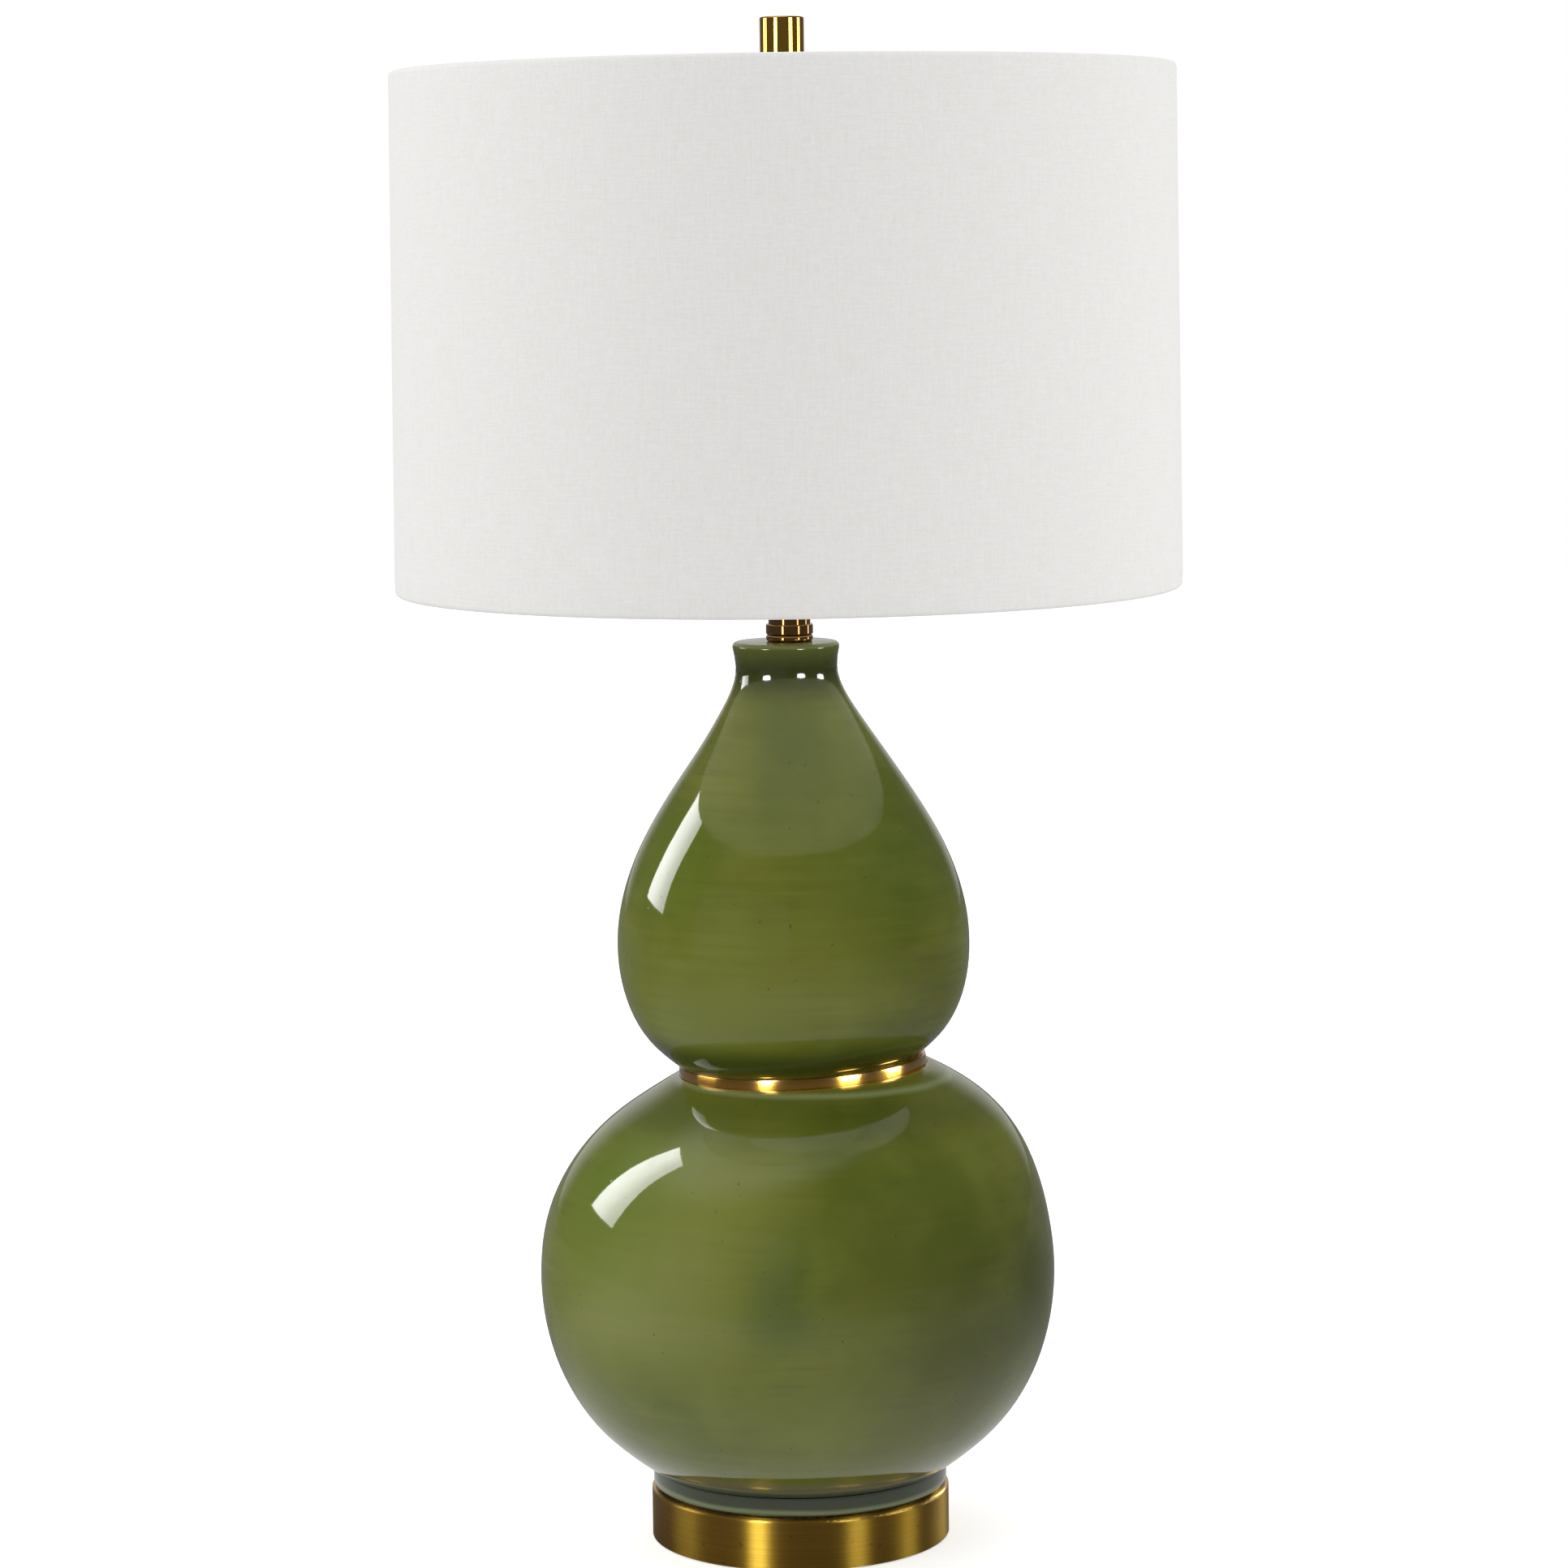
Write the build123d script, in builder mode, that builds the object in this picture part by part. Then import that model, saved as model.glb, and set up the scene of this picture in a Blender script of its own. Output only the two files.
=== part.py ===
from build123d import *
from math import atan2, cos, degrees, sin, sqrt
import os

# Double gourd table lamp. Millimetres, +Z up, front towards -Y, and the origin at the centre of
# the underside. A threaded pipe clamps base, gourds and neck together; the harp carries the shade.

# Base: a spun brass cup over an iron weight, with felt below
base_r = 79.0
base_h = 27.0
base_wall = 1.5
base_edge_r = 1.6
skirt_gap = 0.6
felt_t = 2.0
felt_clearance = 0.4
nut_pocket_r = 18.0
nut_pocket_h = 13.0

# Cord inlet in the back of the skirt
inlet_z = 11.0
inlet_bore_r = 3.2
grommet_wall = 1.7
grommet_flange_w = 1.6
grommet_flange_t = 1.4
grommet_edge_r = 0.6
grommet_clearance = 0.1
channel_clearance = 1.0

# Lamp pipe and the hardware at its foot
pipe_r = 4.9
pipe_wall = 1.6
pipe_clearance = 0.15
pipe_tail = 2.0
washer_w = 10.0
washer_t = 1.5
nut_flats = 14.3
nut_t = 5.0

# Lower gourd: glazed stoneware on its own foot ring
ceramic_wall = 6.0
ceramic_hole_w = 3.0
foot_seal_t = 1.0
foot_seal_w = 14.0
foot_seal_inset = 1.0
foot_r = 78.0
foot_h = 11.4
foot_lip_r = 2.6
foot_step = 1.5
foot_groove = 0.9
foot_floor_t = 9.0
lower_widest_r = 135.3
lower_widest_h = 117.9
lower_h = 222.5
lower_shoulder_share = (0.52, 0.234)
lower_heel_share = (0.47, 0.212)
lower_wall_stations = 7

# Waist: a brass band with a seal on each side of its web
band_r = 65.2
band_h = 6.4
band_rim_t = 4.0
band_web_t = 1.8
band_edge_r = 1.3
band_gap = 0.3
band_seal_t = 0.9
band_seal_inset = 1.0
rebate_depth = 1.0
rebate_gap = 0.5
lip_w = 1.3
spigot_clearance = 0.5
spigot_w = 8.7
web_overhang = 4.0

# Upper gourd, closed at its neck
upper_h = 220.3
upper_widest_r = 92.5
upper_widest_h = 56.8
upper_belly_share = (0.466, 0.243)
upper_shoulder_share = (0.839, 0.6545)
neck_slope_share = (0.458, 0.369)
neck_flare_share = (0.13, 0.15)
upper_inset = 1.7
upper_lip_t = 5.0
upper_wall_stations = 12
neck_waist_r = 26.5
neck_waist_drop = 13.0
rim_flare = 1.5
rim_edge_r = 2.5
neck_floor_t = 10.0

# Brass stack on the neck
check_ring_r = 12.3
check_ring_h = 3.8
check_ring_edge_r = 1.4
collar_r = 12.35
collar_h = 5.4
collar_edge_r = 0.6
neck_tube_r = 11.0
neck_tube_h = 22.1

# Socket for a medium screw bulb, sized from its screw shell outwards
screw_shell_bore_r = 13.3
screw_shell_wall = 0.6
screw_shell_h = 22.0
screw_shell_clearance = 0.3
socket_body_h = 22.0
socket_gap = 0.1
sleeve_wall = 0.9
sleeve_drop = 0.8
shell_wall = 0.7
cap_wall = 0.9
cap_rim_h = 6.0
cap_hub_r = 8.5
cap_hub_h = 7.0
cap_cone_h = 9.5
cap_shoulder_w = 4.6
cap_well_w = 2.0
cap_thread_h = 12.0
cap_screw_r = 1.5
cap_screw_z = 3.5
cap_screw_proud = 0.8
cap_screw_clearance = 0.05
contact_w = 5.0
contact_t = 0.6
contact_reach = 4.0
contact_rise = 3.4
contact_clearance = 1.2
terminal_z = 9.0
terminal_flat_w = 10.0
terminal_flat_h = 11.0
terminal_recess = 1.8
terminal_head_r = 2.6
terminal_head_t = 1.4
terminal_shank_r = 1.4
terminal_shank_h = 4.0
terminal_clearance = 0.05

# Turn switch on the front of the socket
switch_z = 14.0
shaft_r = 1.75
shaft_clearance = 0.05
shaft_depth = 9.0
shaft_hole_w = 1.25
knob_gap = 8.0
knob_r = 6.2
knob_h = 14.0
knob_bore_depth = 9.0
knob_edge_r = 1.5
knob_flutes = 12
knob_flute_r = 0.8

# Harp: its saddle, wire loop, sliding sleeves and swivel stud
saddle_t = 1.4
saddle_w = 10.0
saddle_pad_r = 10.5
saddle_bend_r = 3.0
saddle_arm_h = 24.0
saddle_space = 9.0
ledge_margin = 0.4
tongue_w = 5.0
tongue_h = 14.0
saddle_nut_t = 3.2
harp_wire_r = 1.6
harp_h = 250.0
harp_half_w = 57.0
harp_leg_h = 51.0
harp_flare_h = 67.0
harp_leg_bend_r = 60.0
harp_side_bend_r = 90.0
harp_top_bend_r = 50.0
harp_sleeve_clearance = 0.35
harp_sleeve_t = 1.1
harp_sleeve_h = 15.0
harp_sleeve_edge_r = 0.4
boss_r = 6.5
boss_t = 4.0
shank_r = 2.4
shank_clearance = 0.06
rivet_r = 4.5
rivet_t = 1.6
seat_r = 9.0
seat_t = 2.0
stud_r = 3.1
stud_h = 13.4
stud_chamfer = 0.6

# Shade: linen over a stiff liner, rolled over a wire ring at each edge
shade_r = 204.8
shade_taper = 2.5
shade_h = 268.4
shade_rise = 12.1
fabric_t = 0.8
liner_t = 1.0
ring_wire_r = 1.6
glue_line = 0.2
hem_flap = 2.0
hub_r = 11.0
hub_t = 2.6
hub_clearance = 0.4
hub_overlap = 3.0
arm_count = 3
arm_wire_r = 1.2
arm_bend_run = 22.0
arm_bend_r = 12.0
slit_clearance = 0.5

# Finial
finial_r = 11.5
finial_h = 38.0
finial_edge_r = 1.0
finial_foot_chamfer = 0.5
finial_thread_clearance = 0.08
finial_bore_spare = 2.0

# Heights from the table up
pocket_z = felt_t + nut_pocket_h
lower_z = base_h + foot_seal_t
foot_top_z = lower_z + foot_h
lip_z = lower_z + lower_h
band_z = lip_z - rebate_depth
web_z = band_z + (band_h - band_web_t) / 2
lower_spigot_z = web_z - band_seal_t
upper_spigot_z = web_z + band_web_t + band_seal_t
upper_z = band_z + band_h + band_gap
neck_z = upper_z + upper_h
collar_z = neck_z + check_ring_h
neck_tube_z = collar_z + collar_h
saddle_z = neck_tube_z + neck_tube_h
saddle_nut_z = saddle_z + saddle_t
cap_z = saddle_nut_z + saddle_nut_t
socket_z = cap_z + cap_hub_h + cap_cone_h + cap_wall
screw_shell_z = socket_z + socket_body_h
contact_z = screw_shell_z - contact_rise - contact_t
shell_h = socket_body_h + screw_shell_h
ledge_z = saddle_z + saddle_arm_h
seat_z = saddle_z + harp_h
boss_z = seat_z - seat_t - boss_t
finial_z = seat_z + hub_t
shade_top_z = finial_z + shade_rise
shade_bottom_z = shade_top_z - shade_h

# Sizes that follow from what they fit
pipe_hole_r = pipe_r + pipe_clearance
washer_r = pipe_hole_r + washer_w
ceramic_hole_r = pipe_hole_r + ceramic_hole_w
skirt_inner_r = base_r - base_wall
weight_r = skirt_inner_r - felt_clearance
grommet_neck_r = inlet_bore_r + grommet_wall
grommet_flange_r = grommet_neck_r + grommet_flange_w
foot_seal_r = foot_r - foot_lip_r - foot_seal_inset
band_inner_r = band_r - band_rim_t
spigot_r = band_inner_r - spigot_clearance
mouth_r = spigot_r - spigot_w
rebate_r = band_r + rebate_gap
lip_r = rebate_r + lip_w
rim_r = neck_waist_r + rim_flare
socket_body_r = screw_shell_bore_r + screw_shell_wall + screw_shell_clearance
sleeve_r = socket_body_r + socket_gap + sleeve_wall
shell_r = sleeve_r + socket_gap + shell_wall
cap_r = shell_r + socket_gap + cap_wall
shaft_hole_r = shaft_r + shaft_hole_w
contact_well_r = sqrt(contact_reach**2 + (contact_w / 2) ** 2) + contact_clearance
leg_x = cap_r + saddle_space
arm_inner_x = leg_x + harp_wire_r
arm_outer_x = arm_inner_x + saddle_t
harp_sleeve_x = (leg_x - harp_wire_r + arm_outer_x) / 2
tongue_corner_r = sqrt((arm_outer_x - harp_sleeve_x) ** 2 + (tongue_w / 2) ** 2)
harp_sleeve_bore_r = tongue_corner_r + harp_sleeve_clearance
hem_inner_r = ring_wire_r + glue_line
hem_outer_r = hem_inner_r + fabric_t
bottom_ring_r = shade_r - hem_outer_r
bottom_ring_z = shade_bottom_z + hem_outer_r
top_ring_r = bottom_ring_r - shade_taper
top_ring_z = shade_top_z - hem_outer_r
shade_lean = atan2(top_ring_r - bottom_ring_r, top_ring_z - bottom_ring_z)

os.makedirs("parts", exist_ok=True)


def save(piece, name):
    """Labels a finished piece and writes its file."""
    piece.part.label = name
    export_step(piece.part, f"parts/{name}.step")


def turned_ring(outer_r, bore_r, bottom, height, edge_r=0.0):
    """A ring on the lamp's axis, with its outer edges rounded where edge_r is given."""
    with BuildPart() as ring:
        with BuildSketch(Plane.XY.offset(bottom)):
            Circle(outer_r)
            Circle(bore_r, mode=Mode.SUBTRACT)
        extrude(amount=height)
        if edge_r:
            fillet(ring.edges().filter_by(GeomType.CIRCLE).group_by(SortBy.RADIUS)[-1], radius=edge_r)
    return ring


def hex_nut(flats, bore_r, bottom, height):
    """A plain six-sided nut on the lamp's axis."""
    with BuildPart() as nut:
        with BuildSketch(Plane.XY.offset(bottom)):
            RegularPolygon(flats / 2, 6, major_radius=False)
            Circle(bore_r, mode=Mode.SUBTRACT)
        extrude(amount=height)
    return nut


def wire_ring(centre_r, height):
    """A round wire bent into a ring about the lamp's axis."""
    with BuildPart() as ring:
        with BuildSketch(Plane.XZ):
            with Locations((centre_r, height)):
                Circle(ring_wire_r)
        revolve(axis=Axis.Z)
    return ring


def part_way(start, end, share):
    """The point at the given shares, across and up, of the way from start to end."""
    across, up = share
    return (start[0] + (end[0] - start[0]) * across, start[1] + (end[1] - start[1]) * up)


def beside_ring(ring_r, ring_z, out, up):
    """A point beside a shade ring, measured square to the shade's wall and along it."""
    return (
        ring_r + out * cos(shade_lean) + up * sin(shade_lean),
        ring_z - out * sin(shade_lean) + up * cos(shade_lean),
    )


def inside_wall(outer, thickness, stations):
    """Points one wall thickness inside a curve that runs downwards, from its top to its foot."""
    points = []
    for i in range(1, stations + 1):
        place = i / (stations + 1)
        along = outer % place
        points.append(outer @ place + Vector(along.Y, -along.X) * thickness)
    return points


# Felt pad under the weight
with BuildPart() as felt_pad:
    with BuildSketch():
        Circle(weight_r)
    extrude(amount=felt_t)
save(felt_pad, "felt_pad")

# Brass base cup
inlet_plane = Plane(origin=(0, base_r, inlet_z), x_dir=(1, 0, 0), z_dir=(0, 1, 0))
with BuildPart() as base_cup:
    with BuildSketch(Plane.XY.offset(skirt_gap)):
        Circle(base_r)
    extrude(amount=base_h - skirt_gap)
    fillet(base_cup.edges().group_by(Axis.Z)[-1], radius=base_edge_r)
    with BuildSketch(Plane.XY.offset(skirt_gap)):
        Circle(skirt_inner_r)
    extrude(amount=base_h - skirt_gap - base_wall, mode=Mode.SUBTRACT)
    with BuildSketch(Plane.XY.offset(base_h)):
        Circle(pipe_hole_r)
    extrude(amount=-base_wall, mode=Mode.SUBTRACT)
    with BuildSketch(inlet_plane):
        Circle(grommet_neck_r + grommet_clearance)
    extrude(amount=-2 * base_wall, mode=Mode.SUBTRACT)
save(base_cup, "base_cup")

# Cast iron weight, with a pocket for the nut and a channel out to the inlet
channel_w = 2 * (grommet_flange_r + channel_clearance)
channel_top_z = inlet_z + grommet_flange_r + channel_clearance
with BuildPart() as base_weight:
    with BuildSketch(Plane.XY.offset(felt_t)):
        Circle(weight_r)
        Circle(pipe_hole_r, mode=Mode.SUBTRACT)
    extrude(amount=base_h - base_wall - felt_t)
    with BuildSketch(Plane.XY.offset(felt_t)):
        Circle(nut_pocket_r)
    extrude(amount=nut_pocket_h, mode=Mode.SUBTRACT)
    with BuildSketch(Plane.XY.offset(felt_t)):
        with Locations((0, base_r / 2)):
            Rectangle(channel_w, base_r)
        Circle(washer_r, mode=Mode.SUBTRACT)
    extrude(amount=channel_top_z - felt_t, mode=Mode.SUBTRACT)
save(base_weight, "base_weight")

# Grommet, held by a flange on each side of the skirt
inner_flange_y = sqrt(skirt_inner_r**2 - grommet_flange_r**2)
with BuildPart() as cord_grommet:
    with BuildSketch(inlet_plane):
        Circle(grommet_flange_r)
    extrude(amount=grommet_flange_t)
    fillet(cord_grommet.edges().group_by(Axis.Y)[-1], radius=grommet_edge_r)
    with BuildSketch(inlet_plane):
        Circle(grommet_neck_r)
    extrude(amount=inner_flange_y - base_r)
    with BuildSketch(inlet_plane.offset(inner_flange_y - base_r)):
        Circle(grommet_flange_r)
    extrude(amount=-grommet_flange_t)
    with BuildSketch(inlet_plane.offset(grommet_flange_t)):
        Circle(inlet_bore_r)
    extrude(amount=inner_flange_y - base_r - 2 * grommet_flange_t, mode=Mode.SUBTRACT)
save(cord_grommet, "cord_grommet")

# Washer and nut that draw the pipe down inside the weight
bottom_washer = turned_ring(washer_r, pipe_hole_r, pocket_z - washer_t, washer_t)
save(bottom_washer, "bottom_washer")
bottom_nut_z = pocket_z - washer_t - nut_t
bottom_nut = hex_nut(nut_flats, pipe_hole_r, bottom_nut_z, nut_t)
save(bottom_nut, "bottom_nut")

# Lamp pipe, from below the nut up into the socket cap
pipe_z = bottom_nut_z - pipe_tail
pipe_top_z = cap_z + cap_thread_h - pipe_tail
lamp_pipe = turned_ring(pipe_r, pipe_r - pipe_wall, pipe_z, pipe_top_z - pipe_z)
save(lamp_pipe, "lamp_pipe")

# Seal between the brass cup and the stoneware foot
foot_seal = turned_ring(foot_seal_r, foot_seal_r - foot_seal_w, base_h, foot_seal_t)
save(foot_seal, "foot_seal")

# Lower gourd: foot ring, belly, and a rebated mouth that the band sits in
lip = (lip_r, lip_z)
lower_widest = (lower_widest_r, lower_z + lower_widest_h)
foot_top = (foot_r + foot_step, foot_top_z)
with BuildPart() as lower_gourd:
    with BuildSketch(Plane.XZ):
        with BuildLine():
            lower_outer = Spline(
                lip,
                part_way(lip, lower_widest, lower_shoulder_share),
                lower_widest,
                part_way(foot_top, lower_widest, lower_heel_share),
                foot_top,
            )
            Polyline(
                foot_top,
                (foot_r - foot_groove, foot_top_z - foot_groove / 2),
                (foot_r, foot_top_z - foot_groove),
                (foot_r, lower_z + foot_lip_r),
            )
            CenterArc((foot_r - foot_lip_r, lower_z + foot_lip_r), foot_lip_r, 0, -90)
            Polyline(
                (foot_r - foot_lip_r, lower_z),
                (ceramic_hole_r, lower_z),
                (ceramic_hole_r, lower_z + foot_floor_t),
                (foot_r - ceramic_wall, lower_z + foot_floor_t),
            )
            Spline(
                (foot_r - ceramic_wall, lower_z + foot_floor_t),
                *reversed(inside_wall(lower_outer, ceramic_wall, lower_wall_stations)),
                (mouth_r, lip_z - ceramic_wall),
            )
            Polyline(
                (mouth_r, lip_z - ceramic_wall),
                (mouth_r, lower_spigot_z),
                (spigot_r, lower_spigot_z),
                (spigot_r, band_z - band_gap),
                (rebate_r, band_z - band_gap),
                (rebate_r, lip_z),
                lip,
            )
        make_face()
    revolve(axis=Axis.Z)
save(lower_gourd, "lower_gourd")

# Waist band: an outer rim, and a web that lies between the two gourds
web_bore_r = mouth_r - web_overhang
with BuildPart() as waist_band:
    with BuildSketch(Plane.XZ):
        with BuildLine():
            Polyline(
                (web_bore_r, web_z),
                (band_inner_r, web_z),
                (band_inner_r, band_z),
                (band_r, band_z),
                (band_r, band_z + band_h),
                (band_inner_r, band_z + band_h),
                (band_inner_r, web_z + band_web_t),
                (web_bore_r, web_z + band_web_t),
                close=True,
            )
        make_face()
    revolve(axis=Axis.Z)
    fillet(waist_band.edges().filter_by(GeomType.CIRCLE).group_by(SortBy.RADIUS)[-1], radius=band_edge_r)
save(waist_band, "waist_band")

# Seals on both sides of the web
band_seal_r = spigot_r - band_seal_inset
band_seal_bore_r = mouth_r + band_seal_inset
lower_band_seal = turned_ring(band_seal_r, band_seal_bore_r, lower_spigot_z, band_seal_t)
save(lower_band_seal, "lower_band_seal")
upper_band_seal = turned_ring(band_seal_r, band_seal_bore_r, web_z + band_web_t, band_seal_t)
save(upper_band_seal, "upper_band_seal")

# Upper gourd: flat rim, narrow neck, long shoulder, belly, and a spigot inside the band
rim = (rim_r, neck_z - rim_edge_r)
neck_waist = (neck_waist_r, neck_z - neck_waist_drop)
upper_widest = (upper_widest_r, upper_z + upper_widest_h)
upper_edge = (band_r - upper_inset, upper_z)
with BuildPart() as upper_gourd:
    with BuildSketch(Plane.XZ):
        with BuildLine():
            upper_outer = Spline(
                rim,
                neck_waist,
                part_way(neck_waist, upper_widest, neck_flare_share),
                part_way(neck_waist, upper_widest, neck_slope_share),
                part_way(neck_waist, upper_widest, upper_shoulder_share),
                upper_widest,
                part_way(upper_edge, upper_widest, upper_belly_share),
                upper_edge,
            )
            Polyline(
                upper_edge,
                (spigot_r, upper_z),
                (spigot_r, upper_spigot_z),
                (mouth_r, upper_spigot_z),
                (mouth_r, upper_z + upper_lip_t),
            )
            Spline(
                (mouth_r, upper_z + upper_lip_t),
                *reversed(inside_wall(upper_outer, ceramic_wall, upper_wall_stations)),
                (neck_waist_r - ceramic_wall, neck_z - neck_floor_t),
            )
            Polyline(
                (neck_waist_r - ceramic_wall, neck_z - neck_floor_t),
                (ceramic_hole_r, neck_z - neck_floor_t),
                (ceramic_hole_r, neck_z),
                (rim_r - rim_edge_r, neck_z),
            )
            CenterArc((rim_r - rim_edge_r, neck_z - rim_edge_r), rim_edge_r, 90, -90)
        make_face()
    revolve(axis=Axis.Z)
save(upper_gourd, "upper_gourd")

# Brass stack on the neck: check ring, collar, and the tube that rises into the shade
neck_check_ring = turned_ring(check_ring_r, pipe_hole_r, neck_z, check_ring_h, check_ring_edge_r)
save(neck_check_ring, "neck_check_ring")
neck_collar = turned_ring(collar_r, pipe_hole_r, collar_z, collar_h, collar_edge_r)
save(neck_collar, "neck_collar")
neck_tube = turned_ring(neck_tube_r, pipe_hole_r, neck_tube_z, neck_tube_h)
save(neck_tube, "neck_tube")

# Harp saddle: a steel strip bent up on both sides of the socket
with BuildPart() as harp_saddle:
    with BuildSketch(Plane.XZ) as strip:
        with BuildLine():
            Polyline(
                (-arm_outer_x, ledge_z + tongue_h),
                (-arm_outer_x, saddle_z),
                (arm_outer_x, saddle_z),
                (arm_outer_x, ledge_z + tongue_h),
                (arm_inner_x, ledge_z + tongue_h),
                (arm_inner_x, saddle_nut_z),
                (-arm_inner_x, saddle_nut_z),
                (-arm_inner_x, ledge_z + tongue_h),
                close=True,
            )
        make_face()
        fillet(strip.vertices().group_by(Axis.Y)[0], radius=saddle_bend_r + saddle_t)
        fillet(strip.vertices().filter_by_position(Axis.Y, saddle_nut_z, saddle_nut_z), radius=saddle_bend_r)
    extrude(amount=saddle_w / 2, both=True)
    with BuildSketch(Plane.YZ):
        with Locations((-saddle_w / 2, ledge_z), (saddle_w / 2, ledge_z)):
            Rectangle(saddle_w - tongue_w, 2 * tongue_h, align=(Align.CENTER, Align.MIN))
    extrude(amount=2 * arm_outer_x, both=True, mode=Mode.SUBTRACT)
    with BuildSketch(Plane.XY.offset(ledge_z)):
        for side in (-1, 1):
            with Locations((side * (leg_x - ledge_margin / 2), 0)):
                Rectangle(2 * harp_wire_r + ledge_margin, tongue_w)
    extrude(amount=-saddle_t)
    with BuildSketch(Plane.XY.offset(saddle_z)):
        Circle(saddle_pad_r)
    extrude(amount=saddle_t)
    with BuildSketch(Plane.XY.offset(saddle_z)):
        Circle(pipe_hole_r)
    extrude(amount=saddle_t, mode=Mode.SUBTRACT)
save(harp_saddle, "harp_saddle")

# Nut that locks the saddle down
saddle_nut = hex_nut(nut_flats, pipe_hole_r, saddle_nut_z, saddle_nut_t)
save(saddle_nut, "saddle_nut")

# Socket cap: threaded hub, cone, and a rim that holds the shell
cap_screw_plane = Plane(origin=(0, cap_hub_r, cap_z + cap_screw_z), x_dir=(1, 0, 0), z_dir=(0, 1, 0))
cap_inner_r = cap_r - cap_wall
with BuildPart() as socket_cap:
    with BuildSketch(Plane.XZ):
        with BuildLine():
            Polyline(
                (pipe_hole_r, cap_z),
                (cap_hub_r, cap_z),
                (cap_hub_r, cap_z + cap_hub_h),
                (cap_r, cap_z + cap_hub_h + cap_cone_h),
                (cap_r, socket_z + cap_rim_h),
                (cap_inner_r, socket_z + cap_rim_h),
                (cap_inner_r, socket_z),
                (cap_inner_r - cap_shoulder_w, socket_z),
                (pipe_hole_r + cap_well_w, cap_z + cap_thread_h),
                (pipe_hole_r, cap_z + cap_thread_h),
                close=True,
            )
        make_face()
    revolve(axis=Axis.Z)
    with BuildSketch(cap_screw_plane):
        Circle(cap_screw_r + cap_screw_clearance)
    extrude(amount=-cap_hub_r + pipe_r, mode=Mode.SUBTRACT)
save(socket_cap, "socket_cap")

# Set screw in the hub
with BuildPart() as cap_screw:
    with BuildSketch(cap_screw_plane.offset(cap_screw_proud)):
        Circle(cap_screw_r)
    extrude(amount=pipe_hole_r - cap_hub_r - cap_screw_proud)
save(cap_screw, "cap_screw")

# Socket shell and its insulating sleeve, both pierced for the switch shaft
for radius, wall, height, name in (
    (shell_r, shell_wall, shell_h, "socket_shell"),
    (sleeve_r, sleeve_wall, shell_h - sleeve_drop, "insulating_sleeve"),
):
    with BuildPart() as tube:
        with BuildSketch(Plane.XY.offset(socket_z)):
            Circle(radius)
            Circle(radius - wall, mode=Mode.SUBTRACT)
        extrude(amount=height)
        with BuildSketch(Plane.XZ):
            with Locations((0, socket_z + switch_z)):
                Circle(shaft_hole_r)
        extrude(amount=radius, mode=Mode.SUBTRACT)
    save(tube, name)

# Socket body: moulded, bored for the switch shaft, flattened for the terminals, and with a well
# for the contact in its top
terminal_planes = [
    Plane(origin=(side * socket_body_r, 0, socket_z + terminal_z), x_dir=(0, 1, 0), z_dir=(side, 0, 0))
    for side in (-1, 1)
]
with BuildPart() as socket_body:
    with BuildSketch(Plane.XY.offset(socket_z)):
        Circle(socket_body_r)
    extrude(amount=socket_body_h)
    with BuildSketch(Plane.XZ.offset(socket_body_r - shaft_depth)):
        with Locations((0, socket_z + switch_z)):
            Circle(shaft_r + shaft_clearance)
    extrude(amount=shaft_depth, mode=Mode.SUBTRACT)
    with BuildSketch(Plane.XY.offset(contact_z)):
        Circle(contact_well_r)
    extrude(amount=screw_shell_z - contact_z, mode=Mode.SUBTRACT)
    for plane in terminal_planes:
        with BuildSketch(plane):
            Rectangle(terminal_flat_w, terminal_flat_h)
        extrude(amount=-terminal_recess, mode=Mode.SUBTRACT)
        with BuildSketch(plane):
            Circle(terminal_shank_r + terminal_clearance)
        extrude(amount=-terminal_recess - terminal_shank_h, mode=Mode.SUBTRACT)
save(socket_body, "socket_body")

# Terminal screws, one on each side
with BuildPart() as terminal_screws:
    for plane in terminal_planes:
        with BuildSketch(plane.offset(-terminal_recess)):
            Circle(terminal_head_r)
        extrude(amount=terminal_head_t)
        with BuildSketch(plane.offset(-terminal_recess)):
            Circle(terminal_shank_r)
        extrude(amount=-terminal_shank_h)
save(terminal_screws, "terminal_screws")

# Screw shell that takes the bulb, open in its floor for the contact
with BuildPart() as screw_shell:
    with BuildSketch(Plane.XY.offset(screw_shell_z)):
        Circle(screw_shell_bore_r + screw_shell_wall)
        Circle(contact_well_r, mode=Mode.SUBTRACT)
    extrude(amount=screw_shell_h)
    with BuildSketch(Plane.XY.offset(screw_shell_z + screw_shell_wall)):
        Circle(screw_shell_bore_r)
    extrude(amount=screw_shell_h, mode=Mode.SUBTRACT)
save(screw_shell, "screw_shell")

# Centre contact: a strip folded back up over itself
with BuildPart() as centre_contact:
    with BuildSketch(Plane.XZ.offset(-contact_w / 2)):
        with BuildLine():
            Polyline(
                (-contact_reach, contact_z),
                (contact_reach, contact_z),
                (contact_reach, contact_z + contact_t),
                (-contact_reach + 2 * contact_t, contact_z + contact_t),
                (contact_reach, contact_z + contact_rise),
                (contact_reach - contact_t, contact_z + contact_rise + contact_t),
                (-contact_reach, contact_z + 2 * contact_t),
                close=True,
            )
        make_face()
    extrude(amount=contact_w)
save(centre_contact, "centre_contact")

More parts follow.
